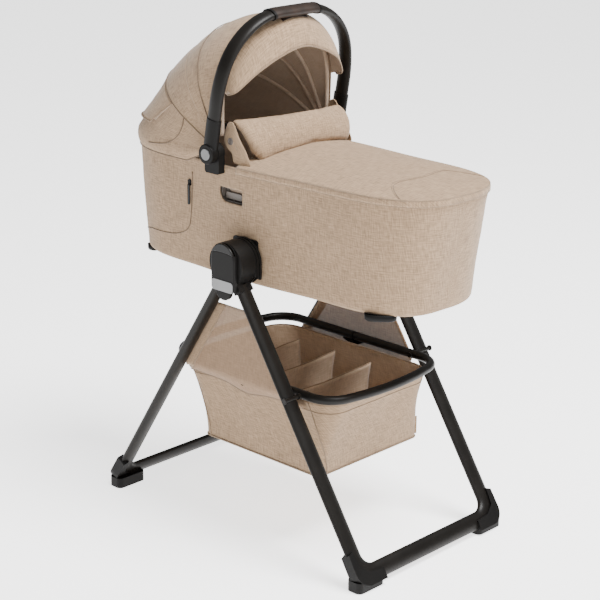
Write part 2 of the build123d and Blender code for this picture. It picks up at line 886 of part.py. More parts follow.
# ================================================================ writing the pieces
def write_stand():
    for end, label in ((1, "front"), (-1, "rear")):
        top = leg_top_front if end > 0 else leg_top_rear
        write_pair(make_leg(end, top), f"leg_{label}")
        write(make_base(end), f"base_tube_{label}")
        write_set(make_shoe(end), f"shoes_{label}")
        write_set(make_pad(end), f"floor_pads_{label}")
    write_pair(make_tongue(), "rear_hinge_tongue")
    write_pair(make_inner_casing(), "hub_inner_casing")
    write_pair(make_outer_casing(), "hub_outer_casing")
    write_pair(make_fold_button(), "fold_button")
    coil = make_coil(5, 0.7, 6.2, side_plane(spring_seat + 0.9, 0, hub_z + spring_up))
    write_pair(coil, "fold_button_spring")
    write_set(make_badge_plate(), "badge_plates")
    write_set(make_hub_pin(), "hub_pins")
    write_pair(make_mount_arch(), "mount_arch")


def write_basket():
    write(make_rail(1, 276), "basket_rail_front")
    write(make_rail(-1, 252), "basket_rail_rear")
    write_set(make_front_knuckle(), "rail_knuckles_front")
    write_set(make_rear_knuckle(), "rail_knuckles_rear")
    write_set(make_rail_bolt(), "rail_bolts")
    write(make_basket(), "basket_fabric")
    write(make_floor_board(), "basket_floor_board")
    write(make_dividers(), "basket_dividers")
    write_pair(make_side_panel(), "side_panel")


def write_bassinet():
    write(make_cot_fabric(), "cot_fabric")
    write(make_cot_tray(), "cot_tray")
    write(make_liner(), "cot_liner")
    write(make_mattress(), "mattress")
    write(make_rim_frame(), "rim_frame")
    write(make_apron(), "apron")
    write(make_wind_flap(), "wind_flap")
    write_set(make_snap(), "flap_snaps")
    write_set(make_mount_bracket(), "mount_brackets")
    write_set(make_feet(), "bassinet_feet")
    write_set(make_window_frame(), "window_frames")
    write_pair(make_paddle(), "release_paddle")
    write(make_zip_slider(), "zip_slider")
    write(make_zip_pull(), "zip_pull")


def write_handle_and_canopy():
    write(make_handle_tube(), "handle_tube")
    write(make_handle_grip(), "handle_grip")
    write_set(make_grip_collar(), "grip_collars")
    write_set(make_handle_bracket(), "handle_brackets")
    write_set(make_handle_hub(), "handle_hubs")
    write_pair(make_handle_button(), "handle_button")
    write(make_canopy(), "canopy_fabric")
    write(make_visor(), "canopy_visor")
    write(make_bow(front_bow_lean, 166, 271.5, 169.3), "canopy_bow_front")
    write(make_bow(mid_bow_lean, 163.5, 266, 165.8), "canopy_bow_middle")


write_stand()
write_basket()
write_bassinet()
write_handle_and_canopy()
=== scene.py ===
import json
import math

import bmesh
import bpy
import numpy as np
from mathutils import Matrix, Vector, noise
from mathutils.bvhtree import BVHTree


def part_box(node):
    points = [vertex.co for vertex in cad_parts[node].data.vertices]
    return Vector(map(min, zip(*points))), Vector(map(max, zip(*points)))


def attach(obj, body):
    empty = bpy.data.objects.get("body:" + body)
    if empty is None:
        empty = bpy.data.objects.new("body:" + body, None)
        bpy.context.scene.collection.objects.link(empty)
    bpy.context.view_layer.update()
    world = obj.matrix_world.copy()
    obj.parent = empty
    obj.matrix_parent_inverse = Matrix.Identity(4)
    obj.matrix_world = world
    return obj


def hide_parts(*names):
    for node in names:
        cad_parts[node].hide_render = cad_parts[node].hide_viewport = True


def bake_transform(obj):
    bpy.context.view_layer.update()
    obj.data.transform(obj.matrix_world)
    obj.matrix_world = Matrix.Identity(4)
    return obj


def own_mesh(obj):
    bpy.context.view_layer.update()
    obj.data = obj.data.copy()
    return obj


# Bassinet on a folding stand. +X is the foot end, Y is across, +Z is up. Lengths in metres.
# x values are measured from the stand's folding axis; at() moves them into the frame.

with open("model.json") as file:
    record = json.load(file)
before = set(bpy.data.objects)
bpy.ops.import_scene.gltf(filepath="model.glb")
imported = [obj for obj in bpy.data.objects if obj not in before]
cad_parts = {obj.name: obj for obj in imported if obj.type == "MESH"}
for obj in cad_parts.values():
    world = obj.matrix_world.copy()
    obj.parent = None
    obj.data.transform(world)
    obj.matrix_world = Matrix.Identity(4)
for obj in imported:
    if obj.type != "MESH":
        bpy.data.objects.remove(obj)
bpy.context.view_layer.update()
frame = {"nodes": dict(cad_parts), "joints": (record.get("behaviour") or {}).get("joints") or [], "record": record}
nodes = frame["nodes"]
joints = {j["name"]: j for j in frame["joints"]}
HUB = Vector(joints["stand_fold"]["pos_m"])
PIVOT = Vector(joints["canopy_fold"]["pos_m"])

FLOOR_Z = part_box("cot_fabric")[0].z
RIM_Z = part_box("cot_fabric")[1].z
SIDES = (("left", 1), ("right", -1))


def at(x, y, z):
    return Vector((HUB.x + x, y, z))


# ------------------------------------------------------------------ camera, light and floor
TARGET = at(0, 0, 0.55)
CAMERA_TURN = math.radians(43.591)
CAMERA_RISE = math.radians(17.514)
CAMERA_ROLL = math.radians(0.45)
CAMERA_DISTANCE = 3.952
CAMERA_LENS = 105.7
CAMERA_SHIFT = (-0.0036, -0.0333)
LIGHT_SIZE = 2.6
SKY_STRENGTH = 0.34
FLOOR_GLOW = 2.0
FLOOR_HALF = 40


def add_camera():
    back = Vector((
        math.sin(CAMERA_TURN) * math.cos(CAMERA_RISE),
        -math.cos(CAMERA_TURN) * math.cos(CAMERA_RISE),
        math.sin(CAMERA_RISE),
    ))
    data = bpy.data.cameras.new("camera")
    data.lens = CAMERA_LENS
    data.sensor_width = 36
    data.shift_x, data.shift_y = CAMERA_SHIFT
    camera = bpy.data.objects.new("camera", data)
    camera.matrix_world = (
        Matrix.Translation(TARGET + back * CAMERA_DISTANCE)
        @ back.to_track_quat("Z", "Y").to_matrix().to_4x4()
        @ Matrix.Rotation(CAMERA_ROLL, 4, "Z")
    )
    bpy.context.scene.collection.objects.link(camera)
    bpy.context.scene.camera = camera


def add_light(name, place, size, power):
    data = bpy.data.lights.new(name, "AREA")
    data.shape = "DISK"
    data.size = size
    data.energy = power
    light = bpy.data.objects.new(name, data)
    light.location = place
    light.rotation_euler = (Vector(place) - TARGET).to_track_quat("Z", "Y").to_euler()
    bpy.context.scene.collection.objects.link(light)


def add_studio():
    world = bpy.data.worlds.new("studio")
    bpy.context.scene.world = world
    world.use_nodes = True
    background = world.node_tree.nodes["Background"]
    background.inputs["Color"].default_value = (1, 1, 1, 1)
    background.inputs["Strength"].default_value = SKY_STRENGTH
    add_light("key", (2.0, 0.4, 4.6), LIGHT_SIZE, 550)
    add_light("fill", (3.5, -2.5, 2.7), LIGHT_SIZE, 42)
    mesh = bpy.data.meshes.new("floor")
    corners = [(-FLOOR_HALF, -FLOOR_HALF, 0), (FLOOR_HALF, -FLOOR_HALF, 0)]
    corners += [(FLOOR_HALF, FLOOR_HALF, 0), (-FLOOR_HALF, FLOOR_HALF, 0)]
    mesh.from_pydata(corners, [], [(0, 1, 2, 3)])
    floor = bpy.data.objects.new("floor", mesh)
    bpy.context.scene.collection.objects.link(floor)
    white = plain_material("floor_white", (0.95, 0.95, 0.95), 0.9)
    skin = white.node_tree.nodes["Principled BSDF"]
    skin.inputs["Emission Color"].default_value = (1, 1, 1, 1)
    skin.inputs["Emission Strength"].default_value = FLOOR_GLOW
    floor.data.materials.append(white)


# ------------------------------------------------------------------ materials
def shader(name):
    material = bpy.data.materials.new(name)
    material.use_nodes = True
    return material, material.node_tree, material.node_tree.nodes["Principled BSDF"]


def plain_material(name, colour, roughness):
    material, tree, skin = shader(name)
    skin.inputs["Base Color"].default_value = (*colour, 1)
    skin.inputs["Roughness"].default_value = roughness
    return material


def node(tree, kind, **settings):
    made = tree.nodes.new(kind)
    for key, value in settings.items():
        if key in made.inputs:
            made.inputs[key].default_value = value
        else:
            setattr(made, key, value)
    return made


def stretched_noise(tree, source, scale, detail=2.0):
    """Noise with a different scale along each axis of its source."""
    mapping = node(tree, "ShaderNodeMapping", Scale=scale)
    tree.links.new(source, mapping.inputs["Vector"])
    made = node(tree, "ShaderNodeTexNoise", Scale=1.0, Detail=detail, Roughness=0.5)
    tree.links.new(mapping.outputs["Vector"], made.inputs["Vector"])
    return made.outputs["Fac"]


def mixed(tree, kind, a, b):
    made = node(tree, "ShaderNodeMath", operation=kind)
    for place, value in enumerate((a, b)):
        if isinstance(value, float):
            made.inputs[place].default_value = value
        else:
            tree.links.new(value, made.inputs[place])
    return made.outputs[0]


def two_tone(tree, factor, low, high, begin=0.0, end=1.0):
    """A colour between low and high, picked by a factor."""
    made = node(tree, "ShaderNodeValToRGB")
    for stop, place, colour in zip(made.color_ramp.elements, (begin, end), (low, high)):
        stop.position = place
        stop.color = (*colour, 1)
    tree.links.new(factor, made.inputs["Fac"])
    return made.outputs["Color"]


def add_bump(tree, skin, height, strength, distance):
    bump = node(tree, "ShaderNodeBump", Strength=strength, Distance=distance)
    tree.links.new(height, bump.inputs["Height"])
    tree.links.new(bump.outputs["Normal"], skin.inputs["Normal"])


THREAD = 1 / 0.0012      # noise scale across the threads
SLUB = 1 / 0.018         # and along them
WEAVE_MIDDLE = 1.06      # mean of the summed weave noise
WEAVE_SPREAD = 0.25


def cloth(name, light, dark, slub=1.0, rough=0.92, sheen=0.15, alpha=1.0, depth=0.0006):
    """Heathered linen: irregular threads both ways, long slubs, soft mottling."""
    material, tree, skin = shader(name)
    uv = node(tree, "ShaderNodeUVMap", uv_map="weave").outputs["UV"]
    along = stretched_noise(tree, uv, (SLUB, THREAD, 1))
    across = stretched_noise(tree, uv, (THREAD, SLUB, 1))
    coarse_along = stretched_noise(tree, uv, (SLUB * 0.8, THREAD * 0.45, 1), 1.0)
    coarse_across = stretched_noise(tree, uv, (THREAD * 0.45, SLUB * 0.8, 1), 1.0)
    fine = mixed(tree, "ADD", along, across)
    coarse = mixed(tree, "ADD", coarse_along, coarse_across)
    total = mixed(tree, "ADD", mixed(tree, "MULTIPLY", fine, 0.4), mixed(tree, "MULTIPLY", coarse, 0.6))
    place = node(tree, "ShaderNodeTexCoord").outputs["Object"]
    mottle = stretched_noise(tree, place, (9, 9, 9), 3.0)
    total = mixed(tree, "ADD", total, mixed(tree, "MULTIPLY", mottle, 0.12))
    spread = WEAVE_SPREAD / slub
    ranged = node(tree, "ShaderNodeMapRange")
    ranged.inputs["From Min"].default_value = WEAVE_MIDDLE - spread
    ranged.inputs["From Max"].default_value = WEAVE_MIDDLE + spread
    tree.links.new(total, ranged.inputs["Value"])
    colour = two_tone(tree, ranged.outputs["Result"], dark, light)
    tree.links.new(colour, skin.inputs["Base Color"])
    add_bump(tree, skin, fine, 0.5, depth)
    skin.inputs["Roughness"].default_value = rough
    skin.inputs["Sheen Weight"].default_value = sheen
    skin.inputs["Sheen Roughness"].default_value = 0.5
    skin.inputs["Specular IOR Level"].default_value = 0.2
    if alpha < 1:
        skin.inputs["Alpha"].default_value = alpha
    return material


def grained(name, low, high, rough, grain, depth=0.00012, metal=0.0, level=0.5, smudge=0.08):
    """Moulded plastic, paint, leather or metal: fine grain and uneven gloss."""
    material, tree, skin = shader(name)
    place = node(tree, "ShaderNodeTexCoord").outputs["Object"]
    cloud = stretched_noise(tree, place, (14, 14, 14), 4.0)
    tree.links.new(two_tone(tree, cloud, low, high, 0.35, 0.65), skin.inputs["Base Color"])
    gloss = node(tree, "ShaderNodeMapRange")
    gloss.inputs["To Min"].default_value = rough - smudge
    gloss.inputs["To Max"].default_value = rough + smudge
    tree.links.new(cloud, gloss.inputs["Value"])
    tree.links.new(gloss.outputs["Result"], skin.inputs["Roughness"])
    pits = node(tree, "ShaderNodeTexNoise", Scale=grain, Detail=2.0)
    tree.links.new(place, pits.inputs["Vector"])
    add_bump(tree, skin, pits.outputs["Fac"], 0.4, depth)
    skin.inputs["Metallic"].default_value = metal
    skin.inputs["Specular IOR Level"].default_value = level
    return material


def leather(name):
    """Smooth brown leather: cell-like grain and darker patches at random."""
    material, tree, skin = shader(name)
    place = node(tree, "ShaderNodeTexCoord").outputs["Object"]
    cells = node(tree, "ShaderNodeTexVoronoi", Scale=650.0)
    tree.links.new(place, cells.inputs["Vector"])
    cloud = stretched_noise(tree, place, (40, 40, 40), 4.0)
    colour = two_tone(tree, cloud, (0.0095, 0.0055, 0.0038), (0.024, 0.0135, 0.009), 0.3, 0.75)
    tree.links.new(colour, skin.inputs["Base Color"])
    add_bump(tree, skin, cells.outputs["Distance"], 0.5, 0.0004)
    skin.inputs["Roughness"].default_value = 0.5
    skin.inputs["Specular IOR Level"].default_value = 0.25
    return material


LINEN = cloth("linen", (0.392, 0.268, 0.166), (0.196, 0.130, 0.078))
# The same linen as LINEN, painted lighter: painted light standing in for the light that the basket's shaded inside
# faces, floor board and dividers lack.
LINEN_PAINTED_LIGHT = cloth("linen_painted_light", (0.52, 0.385, 0.27), (0.36, 0.262, 0.182))
PIPING = cloth("piping_cloth", (0.27, 0.19, 0.125), (0.18, 0.125, 0.08), depth=0.0003)
# Dark cloth for the seam beads: the seams are real, but their darkness is partly painted shade for the shadow
# lines along them.
SEAM_PAINTED_SHADE = cloth("seam_painted_shade", (0.17, 0.12, 0.08), (0.11, 0.076, 0.05), depth=0.0003)
SHEER = cloth("sheer_mesh", (0.31, 0.203, 0.126), (0.215, 0.138, 0.083), rough=0.85, alpha=0.86)
LINING = cloth("lining_cloth", (0.44, 0.33, 0.245), (0.33, 0.245, 0.178), slub=0.7, sheen=0.1)
SLEEVE = cloth("sleeve_cloth", (0.56, 0.44, 0.34), (0.46, 0.355, 0.27), slub=0.7)
QUILT = cloth("quilt_cloth", (0.78, 0.74, 0.69), (0.66, 0.61, 0.56), slub=0.6)
PAINT = grained(
    "satin_paint", (0.0048, 0.0040, 0.0033), (0.0070, 0.0059, 0.0049), 0.40, 1600.0, 0.00004, level=0.17)
PLASTIC = grained(
    "black_plastic", (0.0030, 0.0027, 0.0025), (0.0052, 0.0047, 0.0043), 0.5, 1100.0, level=0.13)
GLOSS = grained(
    "gloss_black", (0.003, 0.0028, 0.0026), (0.005, 0.0047, 0.0044), 0.28, 1400.0, 0.00003, level=0.22)
GREY = grained("grey_plastic", (0.085, 0.07, 0.06), (0.12, 0.10, 0.085), 0.45, 1000.0)
RUBBER = grained("rubber", (0.012, 0.012, 0.012), (0.02, 0.02, 0.02), 0.8, 700.0, 0.0002)
BRIGHT = grained("bright_metal", (0.13, 0.13, 0.132), (0.19, 0.19, 0.192), 0.36, 1800.0, 0.00003, metal=1.0)
STEEL = grained("steel", (0.14, 0.14, 0.14), (0.20, 0.20, 0.20), 0.42, 1500.0, 0.00005, metal=1.0)
LEATHER = leather("grip_leather")

# board_cloth takes the lighter linen, which is painted light for the shaded basket floor.
CAD_LOOKS = {
    "painted_tube": PAINT, "black_plastic": PLASTIC, "gloss_black": GLOSS, "grey_plastic": GREY,
    "rubber": RUBBER, "bright_metal": BRIGHT, "steel": STEEL, "rim_aluminium": STEEL,
    "grip_leather": LEATHER, "outer_cloth": LINEN, "sheer_cloth": SHEER, "lining_cloth": LINING,
    "mattress_cloth": QUILT, "board_cloth": LINEN_PAINTED_LIGHT,
}


def dress_cad_nodes():
    for part in frame["record"]["subparts"]:
        mesh = nodes[part["node"]].data
        mesh.materials.clear()
        look = PAINT if part["node"] == "rail_bolts" else CAD_LOOKS[part["material_slot"]]
        mesh.materials.append(look)


# ------------------------------------------------------------------ mesh helpers
def new_object(name, vertices, faces, uvs=None, look=None, smooth=True):
    mesh = bpy.data.meshes.new(name)
    mesh.from_pydata([tuple(v) for v in vertices], [], faces)
    layer = mesh.uv_layers.new(name="weave")
    corners = np.empty(len(mesh.loops), int)
    mesh.loops.foreach_get("vertex_index", corners)
    if uvs is None:
        points = np.array([tuple(v) for v in vertices])
        uvs = np.c_[points[:, 0] + 0.7 * points[:, 1], points[:, 2] + 0.3 * points[:, 1]]
    layer.data.foreach_set("uv", np.asarray(uvs, float)[corners].ravel())
    mesh.polygons.foreach_set("use_smooth", [smooth] * len(mesh.polygons))
    if look:
        mesh.materials.append(look)
    made = bpy.data.objects.new(name, mesh)
    bpy.context.scene.collection.objects.link(made)
    return made


def ring_faces(rows, wide, turned=False):
    """Faces between closed rows of points, with both ends capped."""
    faces = []
    for i in range(rows - 1):
        for j in range(wide):
            k = (j + 1) % wide
            faces.append((i * wide + j, i * wide + k, (i + 1) * wide + k, (i + 1) * wide + j))
    first = tuple(range(wide))
    last = tuple(range((rows - 1) * wide, rows * wide))
    return faces + ([first, last[::-1]] if turned else [first[::-1], last])


def grid_uvs(points):
    """Cloth UVs in metres: run of each row, and run from row to row along the middle column."""
    across = np.linalg.norm(np.diff(points, axis=1), axis=2)
    u = np.concatenate([np.zeros((len(points), 1)), np.cumsum(across, axis=1)], axis=1)
    u -= u[:, -1:] / 2
    down = np.linalg.norm(np.diff(points, axis=0), axis=2).mean(axis=1)
    v = np.concatenate([[0], np.cumsum(down)])[:, None] + np.zeros_like(u)
    return np.stack([u, v], axis=2)


def grid_normals(points, ring):
    if ring:
        du = np.roll(points, -1, axis=1) - np.roll(points, 1, axis=1)
    else:
        du = np.gradient(points, axis=1)
    dv = np.gradient(points, axis=0)
    normal = np.cross(du, dv)
    length = np.linalg.norm(normal, axis=2, keepdims=True)
    return normal / np.maximum(length, 1e-12)


def shell(name, rows, thick, look, ring=False, body=None, flip=False, folded=False, inner_look=None):
    """A closed sheet of cloth: a grid of points, thickened to one side; flip picks the other side.
    A folded sheet's first row runs out and back along one line and is sewn together there."""
    outer = np.array([[tuple(p) for p in row] for row in rows], float)
    high, wide = outer.shape[:2]
    normal = grid_normals(outer, ring) * (-1 if flip else 1)
    inner = outer - normal * thick
    uv = grid_uvs(outer)
    count = high * wide
    faces = []
    last = wide if ring else wide - 1
    for i in range(high - 1):
        for j in range(last):
            k = (j + 1) % wide
            a, b, c, d = i * wide + j, i * wide + k, (i + 1) * wide + k, (i + 1) * wide + j
            faces.append((a, b, c, d))
            faces.append((d + count, c + count, b + count, a + count))
    edges = [[(i * wide + j, i * wide + (j + 1) % wide) for j in range(last)] for i in (0, high - 1)]
    if folded:
        edges[0] = [(0, wide - 1)]
        for j in range(wide // 2 - 1):
            a, b, c, d = j, j + 1, wide - 2 - j, wide - 1 - j
            faces.append((d, c, b, a))
            faces.append((a + count, b + count, c + count, d + count))
    for pair, turned in zip(edges, (True, False)):
        for a, b in pair:
            faces.append((b, a, a + count, b + count) if turned else (a, b, b + count, a + count))
    if not ring:
        for j, turned in ((0, False), (wide - 1, True)):
            for i in range(high - 1):
                a, b = i * wide + j, (i + 1) * wide + j
                faces.append((b, a, a + count, b + count) if turned else (a, b, b + count, a + count))
    if flip:
        faces = [f[::-1] for f in faces]
    points = np.concatenate([outer.reshape(-1, 3), inner.reshape(-1, 3)])
    uvs = np.concatenate([uv.reshape(-1, 2), uv.reshape(-1, 2)])
    made = new_object(name, points, faces, uvs, look)
    if inner_look:
        made.data.materials.append(inner_look)
        for face in made.data.polygons:
            face.material_index = int(min(face.vertices) >= count)
    if body:
        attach(made, body)
    return made


def tube(name, points, radius, look, body=None, closed=False, sides=8, flat=1.0):
    """A round bead along points, such as piping or a raised seam."""
    points = [Vector(p) for p in points]
    count = len(points)
    rings, uvs, run = [], [], 0.0
    side = None
    for i, p in enumerate(points):
        ahead = points[(i + 1) % count] if closed or i + 1 < count else p
        behind = points[i - 1] if closed or i else p
        heading = (ahead - behind).normalized()
        if side is None:
            side = heading.orthogonal().normalized()
        side = (side - heading * side.dot(heading)).normalized()
        other = heading.cross(side)
        if i:
            run += (p - points[i - 1]).length
        for k in range(sides):
            turn = 2 * math.pi * k / sides
            rings.append(p + side * math.cos(turn) * radius + other * math.sin(turn) * radius * flat)
            uvs.append((run, k * radius * 0.8))
    faces = []
    for i in range(count if closed else count - 1):
        j = (i + 1) % count
        for k in range(sides):
            m = (k + 1) % sides
            faces.append((i * sides + k, j * sides + k, j * sides + m, i * sides + m))
    if not closed:
        faces.append(tuple(range(sides)))
        faces.append(tuple(reversed(range((count - 1) * sides, count * sides))))
    made = new_object(name, rings, faces, uvs, look)
    if body:
        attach(made, body)
    return made


def join(name, pieces, body=None):
    """Several pieces as one object."""
    first = pieces[0]
    merged = bmesh.new()
    for piece in pieces:
        merged.from_mesh(piece.data)
    merged.to_mesh(first.data)
    merged.free()
    for piece in pieces[1:]:
        bpy.data.objects.remove(piece)
    first.name = name
    if body:
        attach(first, body)
    return first


def resampled(points, count, closed=False):
    """The same line with evenly spaced points."""
    points = np.array([tuple(p) for p in points], float)
    if closed:
        points = np.vstack([points, points[:1]])
    run = np.concatenate([[0], np.cumsum(np.linalg.norm(np.diff(points, axis=0), axis=1))])
    marks = np.linspace(0, run[-1], count + 1)[:-1] if closed else np.linspace(0, run[-1], count)
    return np.stack([np.interp(marks, run, points[:, k]) for k in range(3)], axis=1)


def curved(points, count, closed=False):
    """Smooth line through a few points (Catmull-Rom), evenly spaced."""
    p = [Vector(q) for q in points]
    made = []
    spans = len(p) if closed else len(p) - 1
    for i in range(spans):
        a = p[i - 1] if closed or i else p[0] * 2 - p[1]
        b, c = p[i], p[(i + 1) % len(p)]
        last = p[(i + 2) % len(p)] if closed or i + 2 < len(p) else p[-1] * 2 - p[-2]
        for step in range(16):
            t = step / 16
            made.append(0.5 * (
                2 * b + (c - a) * t + (2 * a - 5 * b + 4 * c - last) * t * t
                + (3 * b - a - 3 * c + last) * t ** 3
            ))
    if not closed:
        made.append(p[-1])
    return resampled(made, count, closed)


def ruffled(point, size, grain, seed=0.0):
    """A soft offset for cloth that isn't perfectly flat."""
    return size * noise.noise(Vector(point) * grain + Vector((seed, seed * 2, 0)))


# ------------------------------------------------------------------ the cot's plan outlines
RING_COUNT = 300


def measured_ring(level):
    """Outline of the CAD cot at a height, found by rays towards the middle."""
    tree = BVHTree.FromObject(nodes["cot_fabric"], bpy.context.evaluated_depsgraph_get())
    centre = at(0.012, 0, level)
    hits = []
    for step in range(720):
        turn = math.tau * step / 720
        out = Vector((math.cos(turn), math.sin(turn), 0))
        hit = tree.ray_cast(centre + out, -out)[0]
        hits.append(hit)
    return resampled(hits, RING_COUNT, closed=True)


RIM_RING = measured_ring(RIM_Z - 0.003)
FLOOR_RING = measured_ring(FLOOR_Z + 0.003)


def cot_ring(z, out=0.0):
    """Outline of the cot at a height, moved outwards by a distance."""
    height = (z - FLOOR_Z) / (RIM_Z - FLOOR_Z)
    share = max(height, 0) ** 1.5
    ring = np.empty_like(RIM_RING)
    ring[:, 0] = FLOOR_RING[:, 0] + (RIM_RING[:, 0] - FLOOR_RING[:, 0]) * share
    ring[:, 1] = FLOOR_RING[:, 1] + (RIM_RING[:, 1] - FLOOR_RING[:, 1]) * height
    ring[:, 2] = z
    ahead = np.roll(ring, -2, axis=0) - np.roll(ring, 2, axis=0)
    normal = np.c_[ahead[:, 1], -ahead[:, 0], np.zeros(len(ring))]
    normal /= np.linalg.norm(normal, axis=1, keepdims=True)
    return ring + normal * out


BAND_Z = RIM_Z - 0.011      # lower edge of the band round the rim


def make_cot_shell():
    """Outer cloth of the cot: side wall, soft lower edge and underside, as one closed skin."""
    rows = []
    edge_r = 0.006
    wall = [(RIM_Z - 0.001, -0.002), (RIM_Z, 0.0), (RIM_Z - 0.003, 0.0012), (BAND_Z + 0.003, 0.0012)]
    wall += [(BAND_Z, 0.0003), (BAND_Z - 0.004, 0.0006)]
    steps = 34
    for i in range(1, steps + 1):
        z = BAND_Z - 0.004 + (FLOOR_Z + edge_r - BAND_Z + 0.004) * i / steps
        swell = 0.0022 * math.sin(math.pi * i / steps) ** 0.8
        wall.append((z, 0.0006 + swell))
    for i in range(1, 6):
        turn = math.pi / 2 * i / 5
        wall.append((FLOOR_Z + edge_r * (1 - math.sin(turn)), -edge_r * (1 - math.cos(turn))))
    for z, out in wall:
        row = cot_ring(z, out)
        depth = min(1, (RIM_Z - z) / 0.03) * min(1, max(0, (z - FLOOR_Z) / 0.02))
        for p in row:
            lift = ruffled(p, 0.0016, 11) + ruffled(p, 0.0007, 31, 5)
            direction = Vector((p[0] - HUB.x, p[1] * 3, 0)).normalized()
            p[0] += direction.x * lift * depth
            p[1] += direction.y * lift * depth
        rows.append(row)
    for inset in (0.02, 0.035, 0.06, 0.1, 0.14):
        row = cot_ring(FLOOR_Z, -inset)
        row[:, 2] = FLOOR_Z + 0.0006
        rows.append(row)
    return shell("cot_shell", rows, 0.0025, LINEN, ring=True)


def baked(obj):
    """The object's mesh with its modifiers applied."""
    view = bpy.context.evaluated_depsgraph_get()
    view.update()
    mesh = bpy.data.meshes.new_from_object(obj.evaluated_get(view), depsgraph=view)
    obj.modifiers.clear()
    obj.data = mesh
    return obj


def smooth_shaded(obj):
    obj.data.polygons.foreach_set("use_smooth", [True] * len(obj.data.polygons))
    return obj


def puff(obj, look, cap, pressure=4.0, voxel=0.006):
    """Swells a closed cloth form with air pressure; no point moves further than the cap."""
    remesh = obj.modifiers.new("remesh", "REMESH")
    remesh.mode = "VOXEL"
    remesh.voxel_size = voxel
    baked(obj)
    count = len(obj.data.vertices)
    start = np.empty(count * 3)
    obj.data.vertices.foreach_get("co", start)
    cloth_modifier = obj.modifiers.new("cloth", "CLOTH")
    settings = cloth_modifier.settings
    settings.quality = 5
    settings.mass = 0.3
    settings.use_pressure = True
    settings.uniform_pressure_force = pressure
    settings.effector_weights.gravity = 0
    settings.tension_stiffness = 25
    settings.compression_stiffness = 25
    settings.shear_stiffness = 10
    settings.bending_stiffness = 0.4
    for frame_number in range(1, 21):
        bpy.context.scene.frame_set(frame_number)
    baked(obj)
    bpy.context.scene.frame_set(1)
    moved = np.empty(count * 3)
    obj.data.vertices.foreach_get("co", moved)
    step = (moved - start).reshape(-1, 3)
    length = np.linalg.norm(step, axis=1, keepdims=True)
    step *= np.minimum(1, cap / np.maximum(length, 1e-9))
    obj.data.vertices.foreach_set("co", (start.reshape(-1, 3) + step).ravel())
    finer = obj.modifiers.new("finer", "SUBSURF")
    finer.levels = 1
    baked(obj)
    obj.data.materials.clear()
    obj.data.materials.append(look)
    return smooth_shaded(obj)


def box_uvs(obj):
    """Metric weave coordinates for a remeshed piece: across it, and along its back-leaning face."""
    mesh = obj.data
    layer = mesh.uv_layers.get("weave") or mesh.uv_layers.new(name="weave")
    count = len(mesh.vertices)
    points = np.empty(count * 3)
    mesh.vertices.foreach_get("co", points)
    points = points.reshape(-1, 3)
    corners = np.empty(len(mesh.loops), int)
    mesh.loops.foreach_get("vertex_index", corners)
    uv = np.c_[points[:, 1], points[:, 2] * 1.1 - points[:, 0]]
    layer.data.foreach_set("uv", uv[corners].ravel())


def surface_tree(*objects):
    """One ray-cast tree over several meshes in world space."""
    vertices, faces = [], []
    for obj in objects:
        base = len(vertices)
        vertices += [v.co.copy() for v in obj.data.vertices]
        faces += [tuple(i + base for i in p.vertices) for p in obj.data.polygons]
    return BVHTree.FromPolygons(vertices, faces)


def laid_on(tree, points, heading, lift):
    """Points dropped on a surface along a heading, then lifted off it by a distance."""
    made = []
    heading = Vector(heading)
    for p in points:
        hit, normal, _, _ = tree.ray_cast(Vector(p) - heading * 0.3, heading)
        if hit:
            normal = normal if normal.dot(heading) < 0 else -normal
            made.append(hit + normal * lift)
    return made


# ------------------------------------------------------------------ cot
def cut_windows(obj):
    """Finger windows through both side walls: flat top and front, rounded lower back corner."""
    for name, side in SIDES:
        low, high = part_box("window_frames")
        x0, x1, z0, z1 = low.x, high.x, low.z, high.z
        outline = []
        corners = (
            (x1 - 0.004, z0 + 0.004, 0.004, -90), (x1 - 0.004, z1 - 0.004, 0.004, 0),
            (x0 + 0.004, z1 - 0.004, 0.004, 90), (x0 + 0.022, z0 + 0.022, 0.022, 180),
        )
        for x, z, radius, begin in corners:
            for step in range(7):
                turn = math.radians(begin + 15 * step)
                outline.append((x + radius * math.cos(turn), z + radius * math.sin(turn)))
        near, far = (side * 0.150, side * 0.20)
        points = [(x, y, z) for y in (near, far) for x, z in outline]
        count = len(outline)
        faces = [tuple(range(count)), tuple(reversed(range(count, 2 * count)))]
        faces += [(i, i + count, (i + 1) % count + count, (i + 1) % count) for i in range(count)]
        cutter = new_object("cutter", points, faces, smooth=False)
        bmesh_normals(cutter)
        cut = obj.modifiers.new("window", "BOOLEAN")
        cut.operation = "DIFFERENCE"
        cut.solver = "EXACT"
        cut.object = cutter
        baked(obj)
        bpy.data.objects.remove(cutter)
        hem = [Vector((x, side * (abs(wall_y(x, z)) + 0.0006), z)) for x, z in outline]
        tube(f"window_hem_{name}", resampled(hem, 70, True), 0.0011, SEAM_PAINTED_SHADE, "bassinet", closed=True)
    return obj


def bmesh_normals(obj):
    work = bmesh.new()
    work.from_mesh(obj.data)
    bmesh.ops.recalc_face_normals(work, faces=work.faces)
    work.to_mesh(obj.data)
    work.free()


def wall_y(x, z):
    """Half-width of the cot's cloth at a place."""
    ring = cot_ring(z, 0.0022)
    close = ring[np.argsort(np.abs(ring[:, 0] - x))[:8]]
    return np.abs(close[:, 1]).max()


